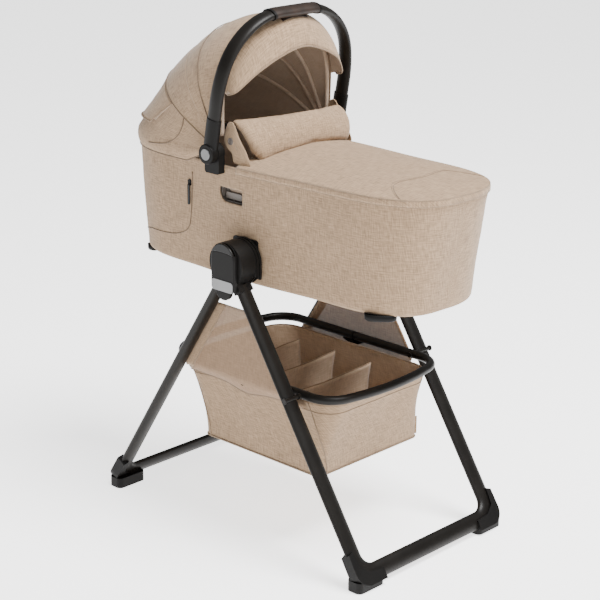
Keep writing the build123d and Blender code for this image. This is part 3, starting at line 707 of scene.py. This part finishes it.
def make_cot_trims():
    pieces = [
        tube("rim_piping_top", cot_ring(RIM_Z - 0.001, 0.0012), 0.0022, PIPING, closed=True),
        # The lower rim line is a dark bead: a real seam, darkened as painted shade for the shadow under the band's
        # step.
        tube("rim_piping_low", cot_ring(BAND_Z, 0.0012), 0.0015, SEAM_PAINTED_SHADE, closed=True),
        tube("bottom_seam", cot_ring(FLOOR_Z + 0.010, 0.0008), 0.0009, SEAM_PAINTED_SHADE, closed=True),
    ]
    joined = join("cot_pipings", pieces, "bassinet")
    tree = surface_tree(cot)
    for name, side in SIDES:
        points = curved([
            at(-0.171, side * 0.3, 0.800), at(-0.172, side * 0.3, 0.778), at(-0.179, side * 0.3, 0.701),
            at(-0.193, side * 0.3, 0.664), at(-0.240, side * 0.3, 0.644), at(-0.32, side * 0.3, 0.636),
        ], 60)
        seam = laid_on(tree, points, (0, -side, 0), 0.0004)
        places = ((-0.32, 0.15, 0.636), (-0.40, 0.098, 0.614), (-0.42, 0.04, 0.608))
        head = curved([at(x, side * y, z) for x, y, z in places], 24)
        out = Vector((-1, side * 0.6, 0)).normalized()
        for p in head:
            hit = tree.ray_cast(p + out * 0.3, -out)
            if hit[0]:
                seam.append(hit[0] + out * 0.0004)
        made = tube(f"zip_seam_{name}", resampled(seam, 80), 0.0013, SEAM_PAINTED_SHADE, "bassinet", flat=0.8)


def make_liner():
    rows = []
    for z, out in ((0.822, -0.009), (0.80, -0.012), (0.77, -0.013),
                   (0.73, -0.014), (0.69, -0.014), (0.652, -0.015)):
        row = cot_ring(z, out)
        for p in row:
            p[1] += ruffled(p, 0.002, 14, 3)
        rows.append(row)
    made = shell("cot_lining", rows, 0.0015, LINING, ring=True, body="bassinet", flip=True)
    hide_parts("cot_liner")


def make_mattress():
    """Quilted pad: puffed by cloth pressure, then channels drawn in."""
    low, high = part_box("mattress")
    rows = []
    ring = cot_ring(FLOOR_Z + 0.04, -0.034)
    centre = ring.mean(axis=0)
    below = ((low.z + 0.002, 0.0), (low.z + 0.002, 0.5), (low.z + 0.002, 0.97), (low.z + 0.008, 1.0))
    above = ((high.z - 0.012, 1.0), (high.z - 0.006, 0.97), (high.z - 0.005, 0.5), (high.z - 0.005, 0.0))
    for z, share in below + above:
        row = centre + (ring - centre) * max(share, 0.001)
        row[:, 2] = z
        rows.append(row)
    made = new_object("mattress_pad", np.concatenate(rows), ring_faces(len(rows), len(ring)), look=QUILT)
    puff(made, QUILT, 0.005)
    for v in made.data.vertices:
        if v.co.z > high.z - 0.012:
            channel = abs(math.sin(math.pi * (v.co.x - HUB.x) / 0.055)) ** 0.35
            v.co.z -= 0.004 * (1 - channel)
        v.co.z = max(v.co.z, low.z)
    box_uvs(made)
    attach(made, "bassinet")
    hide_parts("mattress")


APRON_BACK = -0.028


def foot_half(z, out):
    """The part of the cot's outline that the cover reaches, in order round the foot end."""
    ring = cot_ring(z, out)
    keep = ring[ring[:, 0] > HUB.x + APRON_BACK]
    return keep[np.argsort(np.arctan2(keep[:, 1], keep[:, 0] - HUB.x + 0.3))]


def apron_height(x, share):
    """Height of the cover over the rim: a soft crown, lower towards the foot end."""
    fall = min(1, max(0, (x - APRON_BACK) / 0.48))
    crown = 0.020 * (1 - fall) ** 0.8 + 0.0075
    return RIM_Z + 0.0035 + crown * (1 - share ** 2.2)


def make_apron():
    """Cover over the foot half: crowned top turned down over the rim."""
    edge = resampled(foot_half(RIM_Z, 0.0026), 240)
    spine_end = edge[:, 0].max() - 0.15
    rows = []
    shares = list(np.linspace(0.02, 0.93, 24)) + [0.955, 0.975, 0.99]
    for share in shares:
        row = []
        for p in edge:
            root = np.array((min(p[0], spine_end), 0, 0))
            q = root + (p - root) * share
            x = q[0] - HUB.x
            z = apron_height(x, share)
            z += ruffled((q[0], q[1], 0), 0.0016, 9, 2) * (1 - share ** 6)
            row.append((q[0], q[1], z))
        rows.append(row)
    for drop, out in ((0.0005, 0.0), (-0.0015, 0.0008), (-0.005, 0.0010), (-0.0105, 0.0008)):
        row = resampled(foot_half(RIM_Z, 0.0026 + out), 240)
        row[:, 2] = RIM_Z + 0.0008 + drop
        rows.append(row)
    made = shell("foot_cover", rows, 0.0012, LINEN, body="bassinet", folded=True)
    bmesh_normals(made)
    mesh = made.data
    layer = mesh.uv_layers["weave"]
    for loop, slot_uv in zip(mesh.loops, layer.data):
        p = mesh.vertices[loop.vertex_index].co
        slot_uv.uv = (p.x, p.y + 0.9 * p.z)
    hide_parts("apron")
    return made, edge


def make_apron_trims(cover, edge):
    tree = surface_tree(cover)
    top = edge.copy()
    top[:, 2] = RIM_Z + 0.0030
    band = foot_half(BAND_Z + 0.0004, 0.0036)
    pieces = [tube("cover_piping", top, 0.0017, PIPING), tube("band_seam", band, 0.0013, SEAM_PAINTED_SHADE)]
    half = [(0.4385, 0.1535), (0.385, 0.128), (0.345, 0.096), (0.334, 0.072), (0.338, 0.04), (0.344, 0.0)]
    line = [at(x, -y, 0.9) for x, y in half] + [at(x, y, 0.9) for x, y in reversed(half[:-1])]
    patch = laid_on(tree, curved(line, 120), (0, 0, -1), 0.0004)
    pieces.append(tube("foot_patch_seam", patch, 0.0011, SEAM_PAINTED_SHADE, flat=0.8))
    beside = [Vector((p[0] - 0.006, p[1], p[2])) for p in curved(line, 60)]
    stitch = laid_on(tree, curved(beside, 120), (0, 0, -1), 0.0002)
    pieces.append(tube("foot_patch_stitch", stitch, 0.0006, SEAM_PAINTED_SHADE, flat=0.8))
    joined = join("foot_cover_seams", pieces, "bassinet")


def make_feet():
    """Round knobs under the head end and wide curved pads under the foot end."""
    low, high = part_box("bassinet_feet")
    pieces = []
    for side in (-1, 1):
        for x, y, half_x, half_y, degrees in (
            (-0.366, 0.115, 0.013, 0.013, 0), (0.346, 0.128, 0.016, 0.033, 52),
        ):
            turn = math.radians(degrees * side)
            rows = []
            for z, share in ((high.z + 0.001, 1.0), (low.z + 0.003, 0.97),
                             (low.z + 0.0008, 0.88), (low.z, 0.7), (low.z, 0.02)):
                row = []
                for k in range(40):
                    step = math.tau * k / 40
                    u = half_x * share * math.copysign(abs(math.cos(step)) ** 0.7, math.cos(step))
                    v = half_y * share * math.copysign(abs(math.sin(step)) ** 0.7, math.sin(step))
                    row.append(at(x + u * math.cos(turn) - v * math.sin(turn),
                                  side * y + u * math.sin(turn) + v * math.cos(turn), z))
                rows.append(row)
            foot = shell("foot", rows, 0.0015, PLASTIC, ring=True)
            bmesh_normals(foot)
            pieces.append(foot)
    feet = join("cot_feet", pieces, "bassinet")
    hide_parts("bassinet_feet")


# ------------------------------------------------------------------ wind flap
FLAP_TOP = (at(-0.061, -0.165, 0.929), at(-0.045, 0.160, 0.921))
FLAP_FOOT = (at(0.000, -0.150, 0.842), at(-0.004, 0.163, 0.846))


def make_flap():
    """Padded wind flap: an upright pad that leans back, rounded along its lower edge."""
    rings = []
    across = 46
    for i in range(across + 1):
        s = i / across
        top = FLAP_TOP[0].lerp(FLAP_TOP[1], s)
        foot = FLAP_FOOT[0].lerp(FLAP_FOOT[1], s)
        edge = min(s, 1 - s)
        round_in = 1 - min(1, edge / 0.085)
        foot = foot.lerp(top, 0.32 * round_in ** 2.2)
        foot.y = FLAP_FOOT[0].y + (FLAP_FOOT[1].y - FLAP_FOOT[0].y) * s
        up = (top - foot)
        face = Vector((up.z, 0, -up.x)).normalized()
        thick = 0.012 * math.sqrt(max(0.0, 1 - round_in ** 4)) + 0.0025
        bow = 0.006 * math.sin(math.pi * s)
        ring = []
        for k in range(28):
            turn = math.tau * k / 28
            along = 0.5 + 0.5 * math.copysign(abs(math.cos(turn)) ** 0.8, math.cos(turn))
            depth = math.copysign(abs(math.sin(turn)) ** 0.9, math.sin(turn)) * thick
            belly = face * (bow + 0.008 * math.sin(math.pi * along))
            ring.append(foot + up * along + face * depth + belly)
        rings.append(ring)
    points = [p for ring in rings for p in ring]
    made = new_object("wind_flap_pad", points, ring_faces(len(rings), 28, turned=True), look=LINEN)
    bmesh_normals(made)
    puff(made, LINEN, 0.006, voxel=0.005)
    box_uvs(made)
    for v in made.data.vertices:
        v.co.x += ruffled(v.co, 0.0022, 16, 7)
    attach(made, "bassinet")
    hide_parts("wind_flap")
    tree = surface_tree(made)
    line = [at(-0.055, -0.158, 0.926), at(-0.035, -0.152, 0.90), at(-0.015, -0.143, 0.868),
            at(0.004, -0.128, 0.846), at(0.012, -0.09, 0.842), at(0.016, 0, 0.842), at(0.012, 0.10, 0.844),
            at(0.002, 0.142, 0.850), at(-0.015, 0.152, 0.872), at(-0.04, 0.157, 0.915)]
    hem = [tree.find_nearest(Vector(p))[0] for p in curved(line, 140)]
    hem = curved(hem[::4], 150)
    seam = tube("wind_flap_seam", hem, 0.0012, SEAM_PAINTED_SHADE, "bassinet")


def make_flap_tabs():
    """Rounded side tabs with snaps."""
    for name, side in SIDES:
        centre = at(-0.052, side * 0.1675, 0.887)
        places = (
            (-0.062, 0.926), (-0.070, 0.910), (-0.0745, 0.893), (-0.073, 0.878),
            (-0.064, 0.868), (-0.052, 0.861), (-0.048, 0.849), (-0.042, 0.840),
            (0.002, 0.840), (-0.006, 0.866), (-0.028, 0.896), (-0.046, 0.926),
        )
        outline = curved([at(x - (0.012 if side > 0 else 0), side * 0.1675, z) for x, z in places], 60, True)
        middle = outline.mean(axis=0)
        rows = [middle + (outline - middle) * s for s in (0.02, 0.35, 0.7, 0.94, 1.0)]
        for row, puffed in zip(rows, (0.0035, 0.003, 0.0022, 0.0008, 0)):
            row[:, 1] += side * puffed
        tab = shell(f"flap_tab_{name}", rows, 0.0022, LINEN, ring=True, body="bassinet", flip=side < 0)
        bmesh_normals(tab)
        rings = []
        for radius, out in (
            (0.0001, 0.0042), (0.0036, 0.0042), (0.0040, 0.0036), (0.0050, 0.0036), (0.0055, 0.0046),
            (0.0070, 0.0052), (0.0078, 0.0045), (0.0078, 0.0024), (0.0001, 0.0024),
        ):
            rings.append([centre + Vector((radius * math.cos(math.tau * k / 28), side * out,
                                           radius * math.sin(math.tau * k / 28))) for k in range(28)])
        snap = shell(f"flap_snap_{name}", rings, 0.0002, GREY, ring=True, body="bassinet")
        bmesh_normals(snap)
        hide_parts("flap_snaps")


# ------------------------------------------------------------------ canopy
# radius over the middle and half-width of the hoops, by their lean in degrees
CROWN = ((0, 0.352), (3, 0.336), (7, 0.318), (12, 0.306), (19, 0.299),
         (28, 0.298), (37, 0.288), (50, 0.2745), (61, 0.276), (92, 0.2825))
HALF_WIDTH = ((0, 0.1765), (29, 0.1755), (50, 0.1742), (92, 0.1742))
LOW_END = 0.034
SIDE_END = 0.105
ROUNDNESS = 2.2
FRONT_LEAN = 92
RIB_LEAN = 64
MIDDLE_LEAN = 50
SEAM_LEAN = 28
HOOP_COUNT = 121


def hoop(lean, out=0.0, count=HOOP_COUNT):
    """One hoop of the hood, from one side of the turning axis over the crown to the other.
    Its sides are straight and its crown round; low down it takes on the outline of the cot's rim."""
    r = float(np.interp(lean, *zip(*CROWN))) + out
    a = float(np.interp(lean, *zip(*HALF_WIDTH))) + out
    turn = np.linspace(0, math.pi, 300)
    y = -a * np.sign(np.cos(turn)) * np.abs(np.cos(turn)) ** (2 / ROUNDNESS)
    v = SIDE_END + (r - SIDE_END) * np.abs(np.sin(turn)) ** (2 / ROUNDNESS)
    flat = np.c_[np.r_[-a, y, a], np.r_[LOW_END, v, LOW_END], np.zeros(302)]
    flat = resampled(flat, count)
    ring = cot_ring(RIM_Z, 0.0075 + out)
    back = ring[ring[:, 0] < PIVOT.x - LOW_END]
    back = back[np.argsort(np.arctan2(back[:, 1], PIVOT.x - back[:, 0]))]
    reach = LOW_END + (PIVOT.x - back[:, 0] - LOW_END) * r / CROWN[0][1]
    low = resampled(np.c_[back[:, 1], reach, np.zeros(len(back))], count)
    share = min(1, max(0, lean / SEAM_LEAN))
    share = share * share * (3 - 2 * share)
    shape = low * (1 - share) + flat * share
    tilt = math.radians(lean)
    return np.c_[PIVOT.x - math.cos(tilt) * shape[:, 1], shape[:, 0], PIVOT.z + math.sin(tilt) * shape[:, 1]]


def outward(p):
    direction = np.array(p) - np.array((PIVOT.x, 0, PIVOT.z))
    return direction / np.linalg.norm(direction)


def hoop_rows(begin, end, steps, out=0.0, sink=0.0, seed=0.0, soft=0.0022):
    """Rows between two hoops; the cloth dips by sink between them and isn't perfectly smooth."""
    rows = []
    for i in range(steps + 1):
        t = i / steps
        row = hoop(begin + (end - begin) * t, out)
        for j, p in enumerate(row):
            hold = math.sin(math.pi * t) ** 0.7 * math.sin(math.pi * j / (len(row) - 1)) ** 0.4
            wave = ruffled(p, soft, 9, seed) + ruffled(p, soft * 0.4, 24, seed + 3)
            p += outward(p) * (wave - sink) * hold
        rows.append(row)
    return rows


def skirt_row(t, out=0.0, tuck=0.004):
    """A row between the lowest hoop (0) and the hem (1): high beside the hub, low behind it."""
    row = hoop(0, out)
    for p in row:
        back = min(1, max(0, (PIVOT.x - LOW_END - p[0]) / 0.07))
        hem_z = 0.850 - (0.850 - 0.8225) * back ** 1.2
        inward = np.array((HUB.x - 0.14, 0, 0)) - p
        inward[2] = 0
        inward /= np.linalg.norm(inward)
        p[2] += (hem_z - p[2]) * t
        p += inward * (tuck * t ** 2 - 0.003 * math.sin(math.pi * t))
    return row


def skirt_rows(out=0.0, steps=8):
    return [skirt_row(i / steps, out) for i in range(1, steps + 1)]


def hood_point(lean, share, lift=0.0005):
    """A place on the hood: the hoop it is on and the share of the way along that hoop."""
    row = hoop(lean) if lean >= 0 else skirt_row(-lean)
    index = share * (HOOP_COUNT - 1)
    a = min(int(index), HOOP_COUNT - 2)
    p = row[a] + (row[a + 1] - row[a]) * (index - a)
    return Vector(p + outward(p) * lift)


def bend_rear(obj):
    """Bakes the object's transform into its mesh; nothing is bent."""
    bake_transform(obj)


def bend_front(obj):
    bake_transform(obj)


def make_canopy():
    back = shell("hood_back", hoop_rows(MIDDLE_LEAN, SEAM_LEAN, 20, sink=0.002, seed=1)
                 + hoop_rows(SEAM_LEAN, 0, 22, sink=-0.001, seed=2)[1:] + skirt_rows(), 0.0012, LINEN)
    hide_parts("canopy_fabric")
    front = shell("hood_front", hoop_rows(FRONT_LEAN, MIDDLE_LEAN, 34, sink=0.001, seed=4), 0.0012, LINEN)
    inner_back = shell("hood_lining_back", hoop_rows(MIDDLE_LEAN, 2, 30, out=-0.0050, sink=0.003, seed=6)
                       + skirt_rows(-0.0050), 0.0010, LINING)
    inner_rows = hoop_rows(FRONT_LEAN, MIDDLE_LEAN, 26, out=-0.0050, sink=0.002, seed=8)
    inner_front = shell("hood_lining_front", inner_rows, 0.0010, LINING)
    rear_seam = tube("rear_seam", hoop(SEAM_LEAN, 0.0004), 0.0012, SEAM_PAINTED_SHADE, flat=0.8)
    hem = tube("hem", skirt_row(1.0), 0.0015, PIPING)
    panels = [rear_seam, hem]
    for mirror in (False, True):
        places = ((27, 0.120), (20, 0.114), (13, 0.113), (6, 0.117),
                  (0, 0.130), (-0.25, 0.155), (-0.4, 0.19), (-0.5, 0.23))
        line = [hood_point(lean, 1 - share if mirror else share, 0.0014) for lean, share in places]
        panels.append(tube("side_panel_seam", curved(line, 70), 0.0011, SEAM_PAINTED_SHADE, flat=0.8))
    back_seams = join("hood_back_seams", panels)
    front_seam = tube("hood_rib_seam", hoop(RIB_LEAN, 0.0004), 0.0011, SEAM_PAINTED_SHADE, flat=0.8)
    rib_front = tube("hood_rib_sleeve_front", hoop(RIB_LEAN, -0.0075, 90), 0.0042, SLEEVE, sides=12)
    rib_back = tube("hood_rib_sleeve_back", hoop(SEAM_LEAN - 1, -0.0075, 90), 0.0042, SLEEVE, sides=12)
    flap = make_vent_flap()
    for obj in (back, inner_back, back_seams, rib_back, *flap):
        bend_rear(obj)
    for obj in (front, inner_front, front_seam, rib_front):
        bend_front(obj)
    for name, lean in (("middle", MIDDLE_LEAN), ("front", FRONT_LEAN - 1.5)):
        line = hoop(lean, -0.0100, 90)
        sleeve = tube(f"bow_sleeve_{name}", line, 0.0048, LINING, f"canopy_{name}", sides=12)
        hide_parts(f"canopy_bow_{name}")
    binding = tube("hood_front_edge", hoop(FRONT_LEAN, -0.001), 0.0016, PIPING, "canopy_front")


def flap_rows(steps, begin, drop, lift, columns=57):
    """Rows of the vent flap: it hangs from the rear seam and stands off the hood lower down."""
    rows = []
    for i in range(steps + 1):
        t = i / steps
        near = 0.194 + 0.039 * t
        row = []
        for j in range(columns):
            share = near + (1 - 2 * near) * j / (columns - 1)
            dip = 1 + 0.18 * math.sin(math.pi * j / (columns - 1))
            row.append(hood_point(max(0, begin - drop * t * dip), share, 0.0012 + lift * t ** 1.3))
        rows.append(row)
    return rows


def make_vent_flap():
    """A cloth flap over the vent at the back, its lower edge standing off the hood."""
    rows = flap_rows(14, SEAM_LEAN - 0.5, 20, 0.010)
    flap = shell("vent_flap", rows, 0.0012, LINEN)
    outline = [row[0] for row in rows] + rows[-1][1:] + [row[-1] for row in reversed(rows[:-1])]
    hem = tube("vent_flap_hem", resampled(outline, 160), 0.0013, PIPING)
    mesh_window = shell("vent_mesh", flap_rows(8, SEAM_LEAN - 2, 17, 0.0006), 0.0006, LINING)
    return flap, hem, mesh_window


def make_visor():
    """Sun visor ahead of the front bow, drooping to a piped edge."""
    half = [(-0.060, 0.170, 0.987), (-0.038, 0.165, 0.996), (-0.014, 0.122, 1.036), (-0.005, 0.062, 1.064)]
    edge = [at(x, -y, z) for x, y, z in half] + [at(0, 0, 1.078)]
    edge += [at(x, y, z) for x, y, z in reversed(half)]
    edge = curved(edge, 81)
    bow = hoop(FRONT_LEAN, 0.001, 400)
    inside = bow[bow[:, 2] > 0.985]
    root = resampled(inside, 81)
    for name, look, lift, slot_name in (
        ("visor_outer", LINEN, 0.0, "outer_cloth"), ("visor_lining", LINING, -0.002, "lining_cloth"),
    ):
        rows = []
        for i in range(21):
            t = i / 20
            row = []
            for a, b in zip(root, edge):
                p = a + (b - a) * t
                side = min(1, abs(a[1]) / 0.174)
                bulge = (0.005 + 0.021 * (1 - side ** 2.5)) * math.sin(math.pi * t) ** 0.8
                out = Vector((0.55, 0, 0.83))
                q = Vector(p) + out * (bulge + lift)
                q.z += ruffled(q, 0.0015, 14, 9) * math.sin(math.pi * t)
                row.append(q)
            rows.append(row)
        made = shell(name, rows, 0.0010, look, body="canopy_front")
        if name == "visor_outer":
            outer = made
            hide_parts("canopy_visor")
    binding = tube("visor_binding", edge, 0.0019, PIPING, "canopy_front")
    tree = surface_tree(outer)
    rows = []
    for i in range(8):
        line = [at(-0.041 + 0.014 * i / 7, -0.038 + 0.076 * j / 24, 1.05) for j in range(25)]
        hits = [tree.ray_cast(p + Vector((0, 0, 0.3)), Vector((0, 0, -1)))[0] for p in line]
        rows.append([hit + Vector((0.0012, 0, 0.0018)) for hit in hits])
    patch = shell("visor_leather_patch", rows, 0.0016, LEATHER, body="canopy_front")
    bmesh_normals(patch)


# ------------------------------------------------------------------ basket
BASKET_TOP = {"back": -0.228, "front": 0.252, "half": 0.169, "corner": 0.060, "z": 0.357}
BASKET_FOOT = {"back": -0.146, "front": 0.211, "half": 0.166, "corner": 0.020, "z": 0.186}


def basket_ring(height, out=0.0, count=240):
    """Outline of the bag at a share of its height, the ends flaring near the top."""
    flare = height ** 1.7
    mix = {}
    for key, foot in BASKET_FOOT.items():
        mix[key] = foot + (BASKET_TOP[key] - foot) * (height if key == "half" else flare)
    corner = mix["corner"]
    hollow = 0.005 * math.sin(math.pi * height)
    x0, x1, w = mix["back"] - out, mix["front"] + out, mix["half"] + out - hollow
    points = []
    for cx, cy, begin in ((x1 - corner, w - corner, 0), (x0 + corner, w - corner, 90),
                          (x0 + corner, -w + corner, 180), (x1 - corner, -w + corner, 270)):
        for step in range(13):
            turn = math.radians(begin + 7.5 * step)
            points.append((cx + corner * math.cos(turn), cy + corner * math.sin(turn), 0))
    ring = resampled(points, count, True)
    ring[:, 0] += HUB.x
    z0, z1 = BASKET_FOOT["z"], BASKET_TOP["z"]
    ring[:, 2] = z0 + (z1 - z0) * height
    for p in ring:
        x = p[0] - HUB.x
        if p[1] < -0.10:
            slack = 0.010 * math.exp(-((x - 0.0) / 0.035) ** 2) + 0.012 * min(1, max(0, (-x - 0.10) / 0.1))
            p[2] -= slack * height ** 2
        centre = np.array((HUB.x + 0.03, 0, p[2]))
        direction = p - centre
        direction /= max(1e-6, np.linalg.norm(direction))
        hold = math.sin(math.pi * min(1, height * 0.92))
        p += direction * (ruffled((p[0], p[1], p[2] * 0.6), 0.0045, 9, 11) + ruffled(p, 0.0012, 30, 3)) * hold
    return ring


def flatten_with_stand(obj):
    """Gives the object its own copy of its mesh; the cloth is not moved."""
    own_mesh(obj)
    return obj


def make_basket():
    rows = [basket_ring(1, 0.0), basket_ring(1, 0.0007)]
    rows += [basket_ring(1 - i / 30, 0.0007) for i in range(1, 31)]
    for out in (-0.002, -0.01, -0.03, -0.08, -0.13):
        row = basket_ring(0, out)
        row[:, 2] = BASKET_FOOT["z"] + (0.0006 if out < -0.005 else 0)
        rows.append(row)
    # The bag's inside faces take the lighter linen: painted light for the shaded interior.
    bag = shell("basket_bag", rows, 0.0018, LINEN, ring=True, flip=True, inner_look=LINEN_PAINTED_LIGHT)
    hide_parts("basket_fabric")
    pieces = []
    lower = basket_ring(0, 0.0008)
    lower[:, 2] = BASKET_FOOT["z"] + 0.0015
    pieces.append(tube("bottom_piping", lower, 0.0022, PIPING, closed=True))
    pieces.append(tube("hem_stitch", basket_ring(0.87, 0.0012), 0.0007, SEAM_PAINTED_SHADE, closed=True))
    pieces.append(tube("top_binding", basket_ring(1.0, 0.0002), 0.0018, PIPING, closed=True))
    rings = [basket_ring(i / 24, 0.0010) for i in range(25)]
    for index in corner_columns(rings[12]):
        pieces.append(tube("corner_seam", [ring[index] for ring in rings], 0.0016, SEAM_PAINTED_SHADE))
    trims = join("basket_seams", pieces)
    board = make_board()
    for obj in (bag, trims, board, *make_dividers(), make_tab()):
        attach(obj, "stand")
        flatten_with_stand(obj)


def corner_columns(ring):
    """The column at each of the bag's four corners."""
    made = []
    for sx in (-1, 1):
        for sy in (-1, 1):
            made.append(int(np.argmax(sx * (ring[:, 0] - HUB.x - 0.03) + sy * ring[:, 1] * 1.6)))
    return made


def make_tab():
    """Folded tab on the far front lower corner."""
    ring = basket_ring(0.1, 0.0)
    corner = ring[np.argmax(ring[:, 0] + ring[:, 1] * 1.6)]
    points = [Vector(corner) + Vector((0.002, 0.002, dz)) for dz in (-0.012, 0.0, 0.012, 0.03)]
    made = tube("basket_corner_tab", resampled(points, 12), 0.0045, LINEN, sides=10, flat=0.35)
    return made


def make_board():
    low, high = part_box("basket_floor_board")
    rows = []
    ring = basket_ring(0.0, -0.010)
    centre = ring.mean(axis=0)
    for share, z in ((0.01, high.z), (0.5, high.z), (0.985, high.z), (1.0, high.z - 0.001), (1.0, low.z)):
        row = centre + (ring - centre) * share
        row[:, 2] = z
        rows.append(row)
    # The board cover takes the lighter linen: painted light for the shaded basket floor.
    made = shell("basket_board_cover", rows, 0.0008, LINEN_PAINTED_LIGHT, ring=True, flip=True)
    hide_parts("basket_floor_board")
    return made


def make_dividers():
    """Three soft cross walls sewn to the long walls, sagging in the middle."""
    made = []
    half = 0.158
    for number, (top_x, foot_x) in enumerate(((-0.160, -0.132), (-0.043, -0.040), (0.070, 0.066))):
        rows = []
        for i in range(17):
            h = i / 16
            row = []
            for j in range(41):
                s = -1 + 2 * j / 40
                sag = 0.006 * (1 - s * s)
                z = 0.1955 + (0.330 - sag - 0.1955) * (1 - h)
                x = foot_x + (top_x - foot_x) * (1 - h)
                x += 0.007 * math.sin(math.pi * h) * math.cos(s * 2.2 + number)
                x += ruffled((s, h, number), 0.004, 2.2, number)
                y = s * (half - 0.004 * math.sin(math.pi * h))
                row.append(at(x, y, z))
            rows.append(row)
        # The divider walls take the lighter linen: painted light for the shaded interior.
        wall = shell(f"basket_divider_{number + 1}", rows, 0.0022, LINEN_PAINTED_LIGHT)
        edge = tube(f"basket_divider_hem_{number + 1}", rows[0], 0.0019, PIPING)
        made += [wall, edge]
    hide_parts("basket_dividers")
    return made


def panel_ends(z):
    """Rear and front edges of a side panel at a height, beside the legs."""
    rear = float(np.interp(z, (0.342, 0.525), (-0.180, -0.062)))
    front = (0.636 - z) * 0.66 - 0.020
    return rear, front


def make_side_panels():
    """Sheer mesh panels from each hub down to the basket, outside the rail."""
    for name, side in SIDES:
        rows = []
        for i in range(26):
            z = 0.528 - (0.528 - 0.338) * i / 25
            rear, front = panel_ends(z)
            tuck = max(0, (0.362 - z) / 0.024)
            y = 0.1955 - 0.021 * tuck ** 1.2
            row = []
            for j in range(49):
                s = j / 48
                x = rear + (front - rear) * s
                dip = 0.012 * max(0, tuck) * math.exp(-((x - 0.0) / 0.05) ** 2)
                bow = 0.003 * math.sin(math.pi * s) * math.sin(math.pi * i / 25)
                row.append(at(x, side * (y - bow), z - dip + ruffled((x, z, side), 0.001, 12)))
            rows.append(row)
        panel = shell(f"sheer_panel_{name}", rows, 0.0006, SHEER, flip=side < 0)
        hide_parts(f"side_panel_{name}")
        band_rows = []
        for row in rows[:-2]:
            p, q = Vector(row[0]), Vector(row[1])
            out = Vector((0, side * 0.0012, 0))
            band_rows.append([p + out + (q - p).normalized() * d for d in (-0.004, 0.0, 0.006, 0.013, 0.018)])
        sleeve = shell(f"panel_sleeve_{name}", band_rows, 0.0016, LINEN, flip=side < 0)
        front_rows = []
        for row in rows[:-2]:
            p, q = Vector(row[-1]), Vector(row[-2])
            out = Vector((0, side * 0.0012, 0))
            front_rows.append([p + out + (q - p).normalized() * d for d in (-0.001, 0.004, 0.009)])
        band = shell(f"panel_hem_{name}", front_rows, 0.0012, LINEN, flip=side > 0)
        pipings = [
            tube("sleeve_edge", [r[0] for r in band_rows], 0.0016, PIPING),
            tube("sleeve_edge", [r[-1] for r in band_rows], 0.0016, PIPING),
            tube("lower_edge", rows[-1], 0.0015, SEAM_PAINTED_SHADE),
        ]
        cords = join(f"panel_piping_{name}", pipings)
        for obj in (panel, sleeve, band, cords):
            bmesh_normals(obj)
            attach(obj, "stand")
            flatten_with_stand(obj)


# ------------------------------------------------------------------ the whole scene
dress_cad_nodes()
add_camera()
add_studio()
cot = make_cot_shell()
make_cot_trims()
cut_windows(cot)
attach(cot, "bassinet")
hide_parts("cot_fabric")
make_liner()
make_mattress()
cover, cover_edge = make_apron()
make_apron_trims(cover, cover_edge)
make_feet()
make_flap()
make_flap_tabs()
make_canopy()
make_visor()
make_basket()
make_side_panels()
